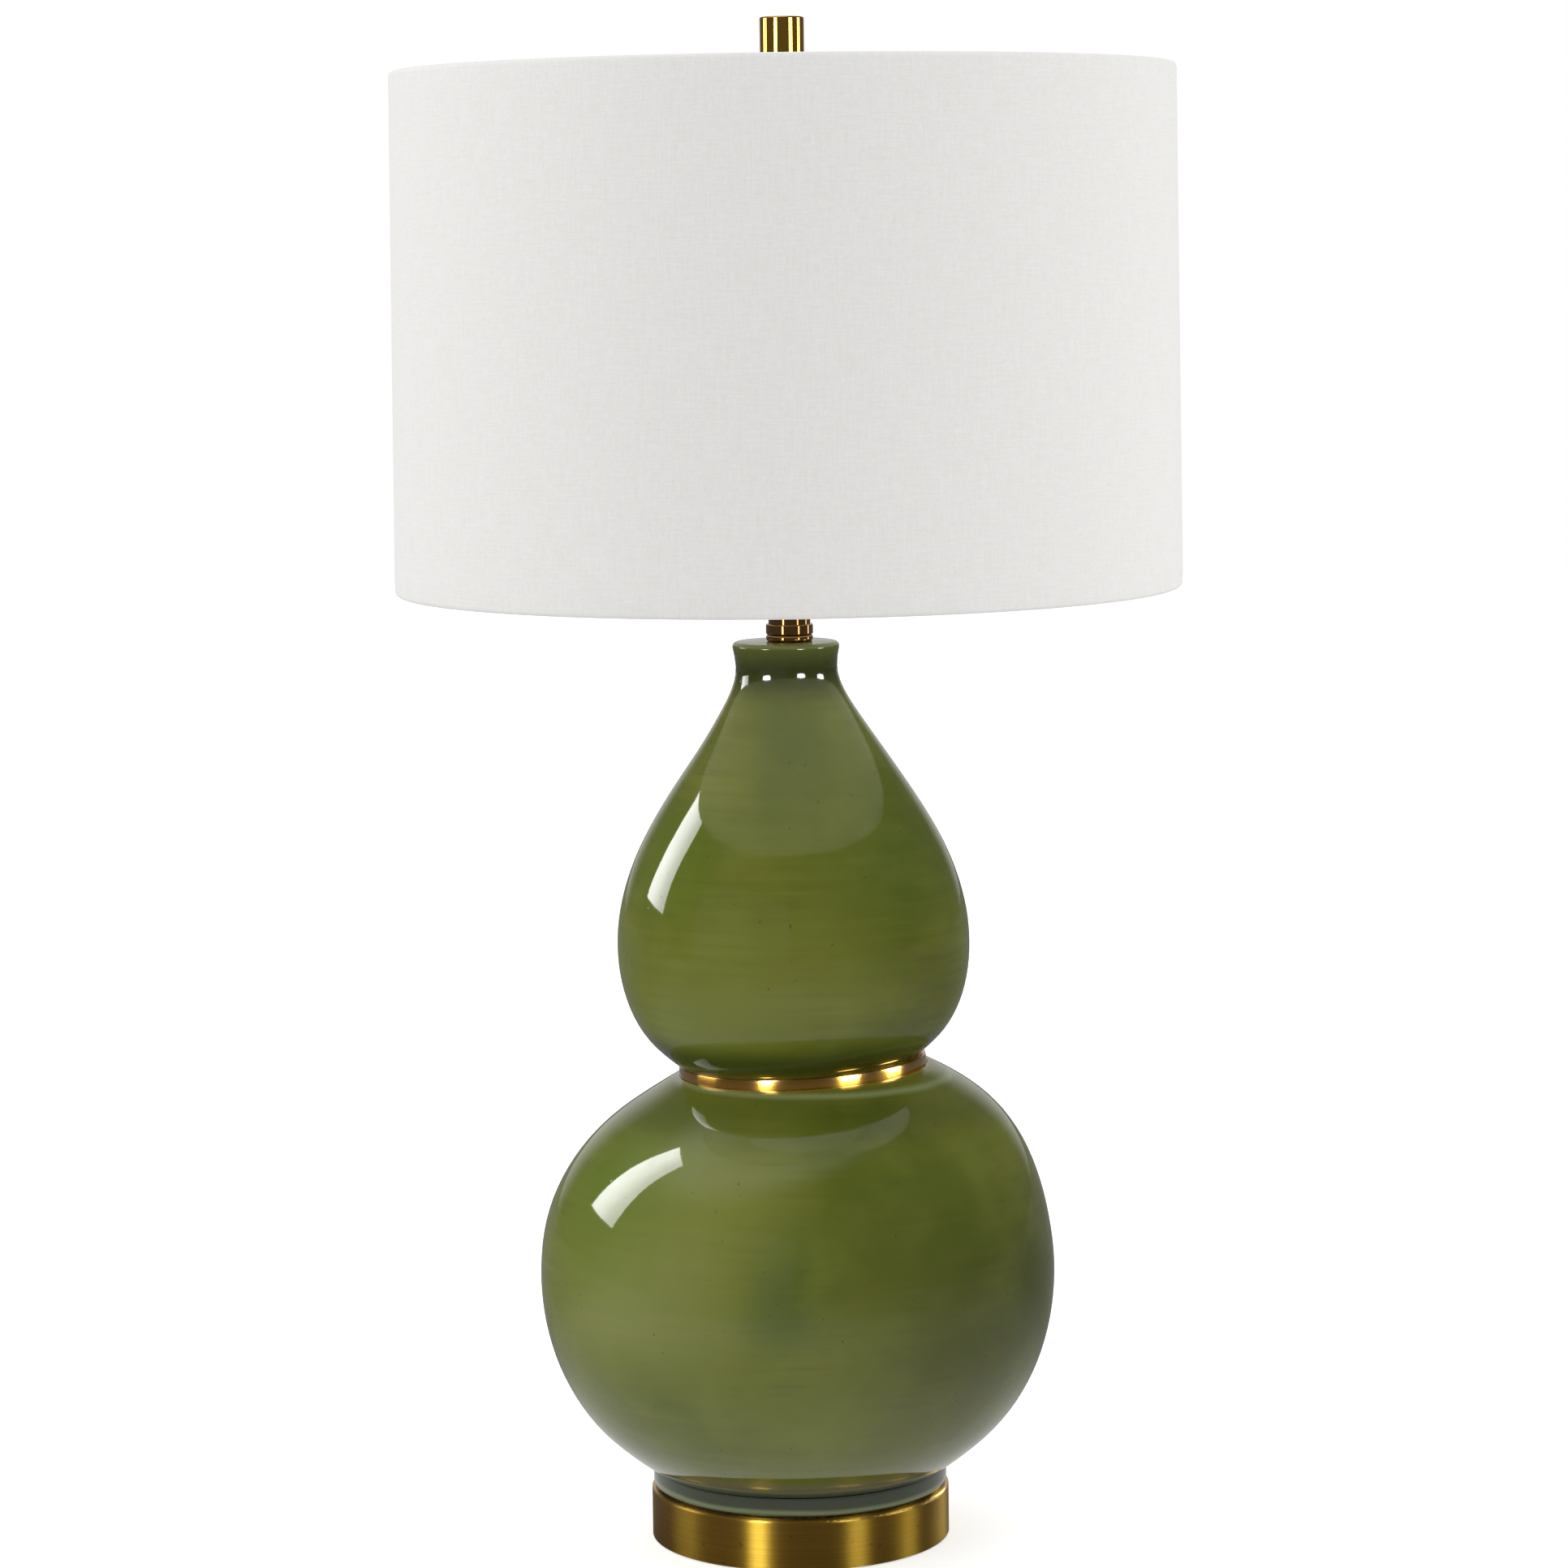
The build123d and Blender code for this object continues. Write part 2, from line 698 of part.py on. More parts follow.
# Switch shaft and its fluted knob
with BuildPart() as switch_shaft:
    with BuildSketch(Plane.XZ.offset(socket_body_r - shaft_depth)):
        with Locations((0, socket_z + switch_z)):
            Circle(shaft_r)
    extrude(amount=shaft_depth + shell_r - socket_body_r + knob_gap + knob_bore_depth)
save(switch_shaft, "switch_shaft")
knob_plane = Plane(origin=(0, -shell_r - knob_gap, socket_z + switch_z), x_dir=(1, 0, 0), z_dir=(0, -1, 0))
with BuildPart() as switch_knob:
    with BuildSketch(knob_plane):
        Circle(knob_r)
    extrude(amount=knob_h)
    fillet(switch_knob.edges().group_by(Axis.Y)[0], radius=knob_edge_r)
    with BuildSketch(knob_plane):
        Circle(shaft_r)
    extrude(amount=knob_bore_depth, mode=Mode.SUBTRACT)
    with BuildSketch(knob_plane):
        with PolarLocations(knob_r, knob_flutes):
            Circle(knob_flute_r)
    extrude(amount=knob_h, mode=Mode.SUBTRACT)
save(switch_knob, "switch_knob")

# Harp: one bent wire, with a boss at the top for the swivel stud
harp_top_z = boss_z + boss_t / 2
harp_side = [
    (leg_x, ledge_z),
    (leg_x, ledge_z + harp_leg_h),
    (harp_half_w, ledge_z + harp_leg_h + harp_flare_h),
    (harp_half_w, harp_top_z),
]
harp_points = harp_side + [(-x, z) for x, z in reversed(harp_side)]
harp_bends = [harp_leg_bend_r, harp_side_bend_r, harp_top_bend_r]
with BuildPart() as harp_loop:
    with BuildLine(Plane.XZ) as harp_line:
        FilletPolyline(*harp_points, radius=harp_bends + harp_bends[::-1])
    with BuildSketch(Plane.XY.offset(ledge_z)):
        with Locations((leg_x, 0)):
            Circle(harp_wire_r)
    sweep(path=harp_line.line)
    with BuildSketch(Plane.XY.offset(boss_z)):
        Circle(boss_r)
    extrude(amount=boss_t)
    with BuildSketch(Plane.XY.offset(boss_z)):
        Circle(shank_r + shank_clearance)
    extrude(amount=boss_t, mode=Mode.SUBTRACT)
save(harp_loop, "harp_loop")

# Sleeves that slide down over the harp's legs and the saddle's tongues
for side, name in ((-1, "harp_sleeve_left"), (1, "harp_sleeve_right")):
    with BuildPart() as harp_sleeve:
        with BuildSketch(Plane(origin=(side * harp_sleeve_x, 0, ledge_z))):
            Circle(harp_sleeve_bore_r + harp_sleeve_t)
            Circle(harp_sleeve_bore_r, mode=Mode.SUBTRACT)
        extrude(amount=harp_sleeve_h)
        outer_edges = harp_sleeve.edges().filter_by(GeomType.CIRCLE).group_by(SortBy.RADIUS)[-1]
        fillet(outer_edges, radius=harp_sleeve_edge_r)
    save(harp_sleeve, name)

# Swivel stud: riveted through the boss, with a seat for the shade and a thread for the finial
stud_top_z = finial_z + stud_h
with BuildPart() as harp_stud:
    with BuildSketch(Plane.XZ):
        with BuildLine():
            Polyline(
                (0, boss_z - rivet_t),
                (rivet_r, boss_z - rivet_t),
                (rivet_r, boss_z),
                (shank_r, boss_z),
                (shank_r, boss_z + boss_t),
                (seat_r, boss_z + boss_t),
                (seat_r, seat_z),
                (stud_r, seat_z),
                (stud_r, stud_top_z - stud_chamfer),
                (stud_r - stud_chamfer, stud_top_z),
                (0, stud_top_z),
                close=True,
            )
        make_face()
    revolve(axis=Axis.Z)
save(harp_stud, "harp_stud")

# Spider: a hub washer and bent arms, welded to the shade's top ring
arm_z = seat_z + hub_t / 2
with BuildPart() as spider_arm:
    with BuildLine(Plane.XZ) as arm_line:
        FilletPolyline(
            (hub_r - hub_overlap, arm_z),
            (top_ring_r - arm_bend_run, arm_z),
            (top_ring_r, top_ring_z),
            radius=arm_bend_r,
        )
    with BuildSketch(Plane.YZ.offset(hub_r - hub_overlap)):
        with Locations((0, arm_z)):
            Circle(arm_wire_r)
    sweep(path=arm_line.line)
with BuildPart() as shade_spider:
    with BuildSketch(Plane.XY.offset(seat_z)):
        Circle(hub_r)
    extrude(amount=hub_t)
    with PolarLocations(0, arm_count, start_angle=90):
        add(spider_arm.part)
    add(wire_ring(top_ring_r, top_ring_z).part)
    with BuildSketch(Plane.XY.offset(seat_z)):
        Circle(stud_r + hub_clearance)
    extrude(amount=hub_t, mode=Mode.SUBTRACT)
save(shade_spider, "shade_spider")

shade_bottom_ring = wire_ring(bottom_ring_r, bottom_ring_z)
save(shade_bottom_ring, "shade_bottom_ring")

# Shade liner: a stiff sheet between the two rings
with BuildPart() as shade_liner:
    with BuildSketch(Plane.XZ):
        with BuildLine():
            Polyline(
                beside_ring(bottom_ring_r, bottom_ring_z, ring_wire_r, hem_inner_r),
                beside_ring(top_ring_r, top_ring_z, ring_wire_r, -hem_inner_r),
                beside_ring(top_ring_r, top_ring_z, ring_wire_r - liner_t, -hem_inner_r),
                beside_ring(bottom_ring_r, bottom_ring_z, ring_wire_r - liner_t, hem_inner_r),
                close=True,
            )
        make_face()
    revolve(axis=Axis.Z)
save(shade_liner, "shade_liner")

# Shade fabric: the linen outside the liner, rolled over both rings and slit for the arms
with BuildPart() as shade_fabric:
    with BuildSketch(Plane.XZ):
        with BuildLine():
            for face_r in (hem_inner_r, hem_outer_r):
                Line(
                    beside_ring(bottom_ring_r, bottom_ring_z, face_r, 0),
                    beside_ring(top_ring_r, top_ring_z, face_r, 0),
                )
            for ring_r, ring_z, turn in ((top_ring_r, top_ring_z, 1), (bottom_ring_r, bottom_ring_z, -1)):
                CenterArc((ring_r, ring_z), hem_inner_r, -degrees(shade_lean), turn * 180)
                CenterArc((ring_r, ring_z), hem_outer_r, -degrees(shade_lean), turn * 180)
                Polyline(
                    beside_ring(ring_r, ring_z, -hem_inner_r, 0),
                    beside_ring(ring_r, ring_z, -hem_inner_r, -turn * hem_flap),
                    beside_ring(ring_r, ring_z, -hem_outer_r, -turn * hem_flap),
                    beside_ring(ring_r, ring_z, -hem_outer_r, 0),
                )
        make_face()
    revolve(axis=Axis.Z)
    with BuildSketch(Plane.XY.offset(top_ring_z - 2 * hem_flap)):
        with PolarLocations(top_ring_r - hem_outer_r, arm_count, start_angle=90):
            Rectangle(2 * hem_outer_r, 2 * (arm_wire_r + slit_clearance))
    extrude(amount=2 * hem_flap + arm_wire_r, mode=Mode.SUBTRACT)
save(shade_fabric, "shade_fabric")

# Finial: a solid turned cylinder, bored for the stud
with BuildPart() as finial:
    with BuildSketch(Plane.XY.offset(finial_z)):
        Circle(finial_r)
    extrude(amount=finial_h)
    fillet(finial.edges().group_by(Axis.Z)[-1], radius=finial_edge_r)
    chamfer(finial.edges().group_by(Axis.Z)[0], length=finial_foot_chamfer)
    with BuildSketch(Plane.XY.offset(finial_z)):
        Circle(stud_r + finial_thread_clearance)
    extrude(amount=stud_h + finial_bore_spare, mode=Mode.SUBTRACT)
save(finial, "finial")
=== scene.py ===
import bpy
from math import cos, hypot, pi, radians, sin, tan
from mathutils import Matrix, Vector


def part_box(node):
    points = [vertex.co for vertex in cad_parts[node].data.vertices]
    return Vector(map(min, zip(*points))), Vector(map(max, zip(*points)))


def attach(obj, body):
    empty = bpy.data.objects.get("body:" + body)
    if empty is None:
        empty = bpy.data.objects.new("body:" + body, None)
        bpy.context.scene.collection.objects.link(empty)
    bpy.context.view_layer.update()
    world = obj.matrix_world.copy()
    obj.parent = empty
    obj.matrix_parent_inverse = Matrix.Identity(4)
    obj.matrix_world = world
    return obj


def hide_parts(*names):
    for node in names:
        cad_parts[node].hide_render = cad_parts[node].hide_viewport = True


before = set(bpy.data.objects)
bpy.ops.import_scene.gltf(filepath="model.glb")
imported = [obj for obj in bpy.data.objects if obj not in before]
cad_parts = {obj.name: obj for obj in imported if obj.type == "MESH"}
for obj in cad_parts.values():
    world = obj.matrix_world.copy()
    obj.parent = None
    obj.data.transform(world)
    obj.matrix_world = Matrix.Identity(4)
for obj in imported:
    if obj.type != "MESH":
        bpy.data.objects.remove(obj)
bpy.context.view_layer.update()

# Felt pad: a disc of pressed wool felt glued under the lamp, so that the metal never
# touches the table. Its pile is short, matted and a little uneven in colour.
mm = 0.001


class Value:
    """A number that changes over a surface, written in sums like any other number."""

    def __init__(self, finish, socket):
        self.finish, self.socket = finish, socket

    def sum(self, operation, first, second):
        return self.finish.node("ShaderNodeMath", {"operation": operation}, {0: first, 1: second})

    def __add__(self, other):
        return self.sum("ADD", self, other)

    def __radd__(self, other):
        return self.sum("ADD", other, self)

    def __sub__(self, other):
        return self.sum("SUBTRACT", self, other)

    def __rsub__(self, other):
        return self.sum("SUBTRACT", other, self)

    def __mul__(self, other):
        return self.sum("MULTIPLY", self, other)

    def __rmul__(self, other):
        return self.sum("MULTIPLY", other, self)


class Finish:
    """One surface finish, built from nodes that read the piece's own place."""

    def __init__(self, name, settings):
        self.material = bpy.data.materials.new(name)
        self.material.use_nodes = True
        self.nodes = self.material.node_tree.nodes
        self.links = self.material.node_tree.links
        self.shader = self.nodes["Principled BSDF"]
        for socket, value in settings.items():
            self.shader.inputs[socket].default_value = value
        self.place = self.node("ShaderNodeTexCoord", output="Object")

    def node(self, kind, settings=None, sockets=None, output=0):
        """Any node: its type, its settings, its sockets' values or links, and its output."""
        made = self.nodes.new(kind)
        for name, value in (settings or {}).items():
            setattr(made, name, value)
        for name, value in (sockets or {}).items():
            if isinstance(value, Value):
                self.links.new(value.socket, made.inputs[name])
            else:
                made.inputs[name].default_value = value
        return Value(self, made.outputs[output])

    def axis(self, letter):
        return self.node("ShaderNodeSeparateXYZ", None, {0: self.place}, letter)

    def noise(self, scale, detail, stretch=(1, 1, 1), shift=(0, 0, 0), place=None):
        """Cloudy noise. The scale is per metre, and a stretch draws it out along an axis."""
        spot = self.node(
            "ShaderNodeMapping",
            None,
            {"Vector": place or self.place, "Location": shift, "Scale": stretch},
        )
        cloud = {"Vector": spot, "Scale": scale, "Detail": detail}
        return self.node("ShaderNodeTexNoise", None, cloud)

    def step(self, value, low, high, to_low=0.0, to_high=1.0):
        """A soft step up from one level to another, between a low and a high value."""
        levels = {"From Min": low, "From Max": high, "To Min": to_low, "To Max": to_high}
        return self.node(
            "ShaderNodeMapRange", {"interpolation_type": "SMOOTHSTEP"}, {"Value": value, **levels}
        )

    def blend(self, share, first, second):
        colours = {0: share, 6: first, 7: second}
        return self.node("ShaderNodeMix", {"data_type": "RGBA"}, colours, 2)

    def relief(self, height, depth, strength):
        bumps = {"Strength": strength, "Distance": depth, "Height": height}
        return self.node("ShaderNodeBump", None, bumps)

    def feed(self, **sockets):
        for name, value in sockets.items():
            self.links.new(value.socket, self.shader.inputs[name.replace("_", " ")])

    def dress(self, *names):
        for name in names:
            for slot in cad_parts[name].material_slots:
                slot.material = self.material


def shade_of(red, green, blue):
    """A colour as it looks on a screen, from 0 to 255, for a shader's socket."""
    shares = [c / 255 for c in (red, green, blue)]
    linear = [c / 12.92 if c <= 0.04045 else ((c + 0.055) / 1.055) ** 2.4 for c in shares]
    return (*linear, 1.0)


felt = Finish("felt", {"Roughness": 0.95, "Specular IOR Level": 0.15})
fibres = felt.noise(900, 3, (1, 1, 2))
matting = felt.noise(60, 3)
felt.feed(
    Base_Color=felt.blend(
        fibres * 0.6 + matting * 0.4, shade_of(22, 24, 20), shade_of(62, 66, 56)
    ),
    Normal=felt.relief(fibres, 0.4 * mm, 0.8),
)
felt.dress("felt_pad")

# Base weight: a grey iron casting that sits inside the brass cup and keeps the lamp
# upright. It is left as cast, with a fine grain and a few rusty patches.
cast_iron = Finish("cast_iron", {"Metallic": 0.7})
grain = cast_iron.noise(450, 5)
rust = cast_iron.step(cast_iron.noise(38, 4), 0.52, 0.7)
cast_iron.feed(
    Base_Color=cast_iron.blend(rust, shade_of(72, 70, 68), shade_of(104, 70, 48)),
    Roughness=0.5 + 0.35 * grain,
    Normal=cast_iron.relief(grain, 0.3 * mm, 0.7),
)
cast_iron.dress("base_weight")

# Base cup: spun from brass sheet, with a straight skirt and a small rounded top edge.
# It is brushed round and round with a fine abrasive and lacquered.


def brass(name, brushing, settings, darkening=0.0):
    """Warm dark brass: cloudy lacquer, and hairlines that run round the piece. Brushing
    says how strong the hairlines are, and darkening how far its colour is darkened
    toward brown, from 0 to 1."""
    lacquered = {"Metallic": 1.0, "Coat Weight": 0.6, "Coat Roughness": 0.22}
    finish = Finish(name, {**lacquered, **settings})
    lines = finish.noise(1.0, 3, (14, 14, 5200))
    wide_lines = finish.step(finish.noise(1.0, 2, (5, 5, 900), (3, 1, 0)), 0.35, 0.65)
    lacquer = finish.noise(22, 3, (1, 1, 1.6))
    spots = finish.step(finish.noise(240, 2), 0.68, 0.76)
    tone = finish.blend(lacquer, shade_of(220, 160, 54), shade_of(234, 179, 68))
    tone = finish.blend(brushing * wide_lines, tone, shade_of(238, 188, 80))
    # Darkening toward brown. On the neck brass it is painted shade from the lampshade.
    tone = finish.blend(darkening + 0.35 * spots * (1 - darkening), tone, shade_of(112, 76, 36))
    finish.feed(
        Base_Color=tone,
        Roughness=settings["Roughness"] + 0.1 * brushing * lines + 0.05 * (lacquer - 0.5),
        Normal=finish.relief(lines, 0.02 * mm, brushing),
    )
    return finish


brushed_brass = brass(
    "brushed_brass",
    brushing=0.5,
    settings={"Roughness": 0.32, "Anisotropic": 0.99, "Anisotropic Rotation": 0.25},
)
brushed_brass.dress("base_cup")

# Cord inlet: a black rubber bushing snapped into the back of the skirt, which keeps
# the bare edge of the hole from cutting a cord.
rubber = Finish("rubber", {"Roughness": 0.6})
bloom = rubber.noise(120, 4)
rubber.feed(
    Base_Color=rubber.blend(bloom, shade_of(20, 20, 20), shade_of(44, 43, 41)),
    Roughness=0.5 + 0.3 * bloom,
    Normal=rubber.relief(bloom, 0.1 * mm, 0.4),
)
rubber.dress("cord_grommet")

# Pipe, nuts, washer and screws: zinc-plated steel. The threaded pipe runs from the base
# to the harp and clamps the whole stack between its bottom nut and the saddle's nut.
zinc = Finish("zinc_steel", {"Metallic": 1.0})
spangle = zinc.noise(160, 3)
smears = zinc.noise(30, 4)
zinc.feed(
    Base_Color=zinc.blend(spangle, shade_of(150, 152, 150), shade_of(196, 197, 192)),
    Roughness=0.26 + 0.25 * smears,
    Normal=zinc.relief(zinc.noise(900, 2), 0.03 * mm, 0.5),
)
zinc.dress("lamp_pipe", "bottom_nut", "bottom_washer", "saddle_nut", "cap_screw", "terminal_screws")

# Seals: thin rings of dark cork rubber that take up the unevenness of the fired clay,
# one under the foot and one on each side of the waist band.
cork = Finish("cork_rubber", {"Roughness": 0.85})
crumbs = cork.noise(420, 2)
cork.feed(
    Base_Color=cork.blend(
        cork.step(crumbs, 0.42, 0.6), shade_of(34, 30, 24), shade_of(84, 62, 42)
    ),
    Normal=cork.relief(crumbs, 0.15 * mm, 0.6),
)
cork.dress("foot_seal", "lower_band_seal", "upper_band_seal")

# Lower gourd: thrown stoneware with a turned foot ring, dipped in a clear green glaze
# that runs thin over the edges and pools blue-grey at the foot. Painted highlights lie
# on its lips, painted shade under the band, in the foot's groove and on its right side,
# painted light on its left side, and a painted reflection of the brass above the foot.
# It is bored for the pipe, and its mouth is rebated to take the band. It stands a little
# askew.


def through(points, steps):
    """A smooth line through a few points of a profile, as a throwing rib is cut: a cubic
    between each two points, with the bend that leaves no kink where they meet."""
    count = len(points)
    chords = [hypot(b[0] - a[0], b[1] - a[1]) for a, b in zip(points, points[1:])]
    bends = []
    for axis in (0, 1):
        slopes = [(b[axis] - a[axis]) / c for a, b, c in zip(points, points[1:], chords)]
        shares, sums = [0.0] * count, [0.0] * count
        for i in range(1, count - 1):
            whole = 2 * (chords[i - 1] + chords[i]) - chords[i - 1] * shares[i - 1]
            shares[i] = chords[i] / whole
            sums[i] = (6 * (slopes[i] - slopes[i - 1]) - chords[i - 1] * sums[i - 1]) / whole
        bend = [0.0] * count
        for i in range(count - 2, 0, -1):
            bend[i] = sums[i] - shares[i] * bend[i + 1]
        bends.append(bend)
    line = []
    for i, chord in enumerate(chords):
        pieces = max(2, round(steps * chord / sum(chords)))
        for k in range(pieces):
            t = k / pieces
            left, right = (1 - t) ** 3 - (1 - t), t**3 - t
            line.append(
                tuple(
                    (1 - t) * points[i][axis]
                    + t * points[i + 1][axis]
                    + chord**2 / 6 * (left * bends[axis][i] + right * bends[axis][i + 1])
                    for axis in (0, 1)
                )
            )
    return line + [points[-1]]


def rounded(centre, radius, start, end, steps=5):
    """The points of a rounded edge, by its angles in degrees."""
    angles = [radians(start + (end - start) * k / steps) for k in range(steps + 1)]
    return [(centre[0] + radius * cos(a), centre[1] + radius * sin(a)) for a in angles]


def turned(name, profile, sides=240):
    """Turns a closed profile of (radius, height) pairs, in millimetres, on the lathe."""
    bpy.ops.object.select_all(action="DESELECT")
    bpy.ops.mesh.primitive_plane_add(size=mm)
    piece = bpy.context.active_object
    piece.name = piece.data.name = name
    bpy.ops.object.mode_set(mode="EDIT")
    bpy.ops.mesh.select_all(action="SELECT")
    bpy.ops.mesh.merge(type="CENTER")
    bpy.ops.transform.translate(value=(profile[0][0] * mm, 0, profile[0][1] * mm))
    for (r0, z0), (r1, z1) in zip(profile, profile[1:] + profile[:1]):
        bpy.ops.mesh.extrude_vertices_move(
            TRANSFORM_OT_translate={"value": ((r1 - r0) * mm, 0, (z1 - z0) * mm)}
        )
    bpy.ops.mesh.select_all(action="SELECT")
    bpy.ops.mesh.spin(steps=sides, angle=2 * pi, center=(0, 0, 0), axis=(0, 0, 1))
    bpy.ops.mesh.select_all(action="SELECT")
    bpy.ops.mesh.remove_doubles(threshold=0.002 * mm)
    bpy.ops.mesh.normals_make_consistent(inside=False)
    bpy.ops.object.mode_set(mode="OBJECT")
    return piece


def hand_made(piece, depth, size):
    """The slight unevenness of clay that was thrown by hand, in millimetres."""
    unevenness = bpy.data.textures.new(piece.name + "_unevenness", "CLOUDS")
    unevenness.noise_scale = size * mm
    wave = piece.modifiers.new("unevenness", "DISPLACE")
    wave.texture, wave.texture_coords = unevenness, "LOCAL"
    wave.strength, wave.mid_level = depth * mm, 0.5
    bpy.ops.object.modifier_apply(modifier=wave.name)


def lean(piece, height, depth, reach, shift, tilt):
    """Pushes the ring of a piece at a height, and a depth each side of it, sideways, and
    tips it by degrees. The push fades away over a reach, as in soft clay."""
    bpy.ops.object.mode_set(mode="EDIT")
    bpy.ops.mesh.select_mode(type="VERT")
    bpy.ops.mesh.select_all(action="DESELECT")
    bpy.ops.object.mode_set(mode="OBJECT")
    for vertex in piece.data.vertices:
        vertex.select = abs(vertex.co.z - height * mm) < depth * mm
    bpy.ops.object.mode_set(mode="EDIT")
    soft = {
        "use_proportional_edit": True,
        "proportional_edit_falloff": "SMOOTH",
        "proportional_size": reach * mm,
    }
    bpy.ops.transform.translate(value=(shift * mm, 0, 0), **soft)
    middle = (shift * mm, 0, height * mm)
    bpy.ops.transform.rotate(
        value=radians(tilt), orient_axis="Y", center_override=middle, **soft
    )
    bpy.ops.object.mode_set(mode="OBJECT")


def finished(piece, finish, slot, body, *nodes):
    """Shades a piece, gives it its finish, and puts it in its nodes' place on a body."""
    sharpest = 32
    bpy.ops.object.shade_smooth_by_angle(angle=radians(sharpest))
    piece.data.materials.clear()
    piece.data.materials.append(finish.material)
    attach(piece, body)
    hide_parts(*nodes)


pipe_hole_r, mouth_r, rebate_r = 8.05, 52, 60.7
belly = through([(67, 250.5), (103.3, 226), (136.0, 147), (106.8, 62), (79.8, 39.4)], 44)
foot_groove = [(77.1, 39.0), (77.7, 38.6), (78, 38.4)]
foot_ring = rounded((75.4, 30.6), 2.6, 0, -90)
foot_hole = [(pipe_hole_r, 28), (pipe_hole_r, 37)]
hollow = through(
    [(72, 37), (100.3, 65.5), (128.6, 130), (124.5, 176), (98.4, 221.6), (mouth_r, 244.5)], 18
)
band_rebate = [(mouth_r, 250.9), (rebate_r, 250.9), (rebate_r, 249.2), (65.7, 249.2), (65.7, 250.5)]
lower_gourd = turned(
    "lower_gourd_body", belly + foot_groove + foot_ring + foot_hole + hollow + band_rebate
)
hand_made(lower_gourd, depth=0.5, size=60)


def glaze(name, painted_light_rings, pool, blotches_and_painted_light):
    """Green glaze over stoneware, with painted light. Each ring is a height, a width, a
    strength and a colour, and is a painted highlight, shade or reflection round the piece;
    the pool is a top and a foot height; and each blotch is a place, a size, a strength and
    a colour, as glaze tone or as painted light and shade, with lengths in millimetres."""
    finish = Finish(name, {"IOR": 1.5})
    warp = finish.noise(9, 3)
    clouds = finish.noise(7.5, 4, (1, 1, 0.8), (0.3, 1.7, 0.2))
    mottle = finish.noise(26, 5, (1, 1, 1.3), (2.1, 0.4, 1.1))
    drifts = finish.noise(13, 3, (1, 1, 0.7), (4.1, 2.4, 3.1))
    strokes = finish.noise(1.0, 5, (16, 16, 260), (0.7, 0.1, 4.0))
    wide_strokes = finish.noise(1.0, 3, (4, 4, 45), (5.7, 2.1, 1.0))
    sway, ragged = 4 * mm, 40 * mm
    height = finish.axis("Z") + (warp - 0.5) * sway

    cloudy = finish.step(clouds, 0.36, 0.66)
    tone = finish.blend(cloudy, shade_of(92, 101, 28), shade_of(115, 120, 44))
    tone = finish.blend(0.4 * finish.step(mottle, 0.4, 0.72), tone, shade_of(122, 128, 56))
    tone = finish.blend(0.3 * finish.step(drifts, 0.45, 0.7), tone, shade_of(84, 102, 34))
    tone = finish.blend(0.1 * finish.step(wide_strokes, 0.42, 0.66), tone, shade_of(88, 104, 30))
    brushed = 0.4 + 0.6 * finish.step(drifts, 0.55, 0.4)
    pale_strokes, dark_strokes = finish.step(strokes, 0.5, 0.75), finish.step(strokes, 0.5, 0.28)
    tone = finish.blend(0.2 * brushed * pale_strokes, tone, shade_of(138, 138, 66))
    tone = finish.blend(0.2 * brushed * dark_strokes, tone, shade_of(66, 82, 22))
    # Blotches of glaze tone, and of painted light and shade on the sides.
    for place, size, strength, colour in blotches_and_painted_light:
        away = finish.node(
            "ShaderNodeVectorMath",
            {"operation": "DISTANCE"},
            {0: finish.place, 1: tuple(c * mm for c in place)},
            "Value",
        )
        near = finish.step(away + (mottle - 0.5) * ragged, size * mm, 0.0)
        tone = finish.blend(strength * near, tone, shade_of(*colour))
    if pool:
        pooled = finish.step(height, pool[0] * mm, pool[1] * mm)
        tone = finish.blend(0.9 * pooled, tone, shade_of(42, 52, 36))
    # Painted highlights, shade and reflections, laid in rings round the piece.
    for level, width, strength, colour in painted_light_rings:
        edge = finish.node("ShaderNodeMath", {"operation": "ABSOLUTE"}, {0: height - level * mm})
        ring = finish.step(edge, width * mm, 0.0)
        tone = finish.blend(strength * ring, tone, shade_of(*colour))
    specks = finish.step(finish.noise(330, 1, shift=(0.0, 3.0, 0.0)), 0.755, 0.79)
    tone = finish.blend(0.55 * specks, tone, shade_of(48, 52, 22))
    orange_peel = finish.noise(300, 2)
    finish.feed(
        Base_Color=tone,
        Roughness=0.035 + 0.05 * finish.step(clouds, 0.3, 0.8) + 0.2 * specks,
        Normal=finish.relief(orange_peel - 2.0 * specks, 0.012 * mm, 0.5),
    )
    return finish


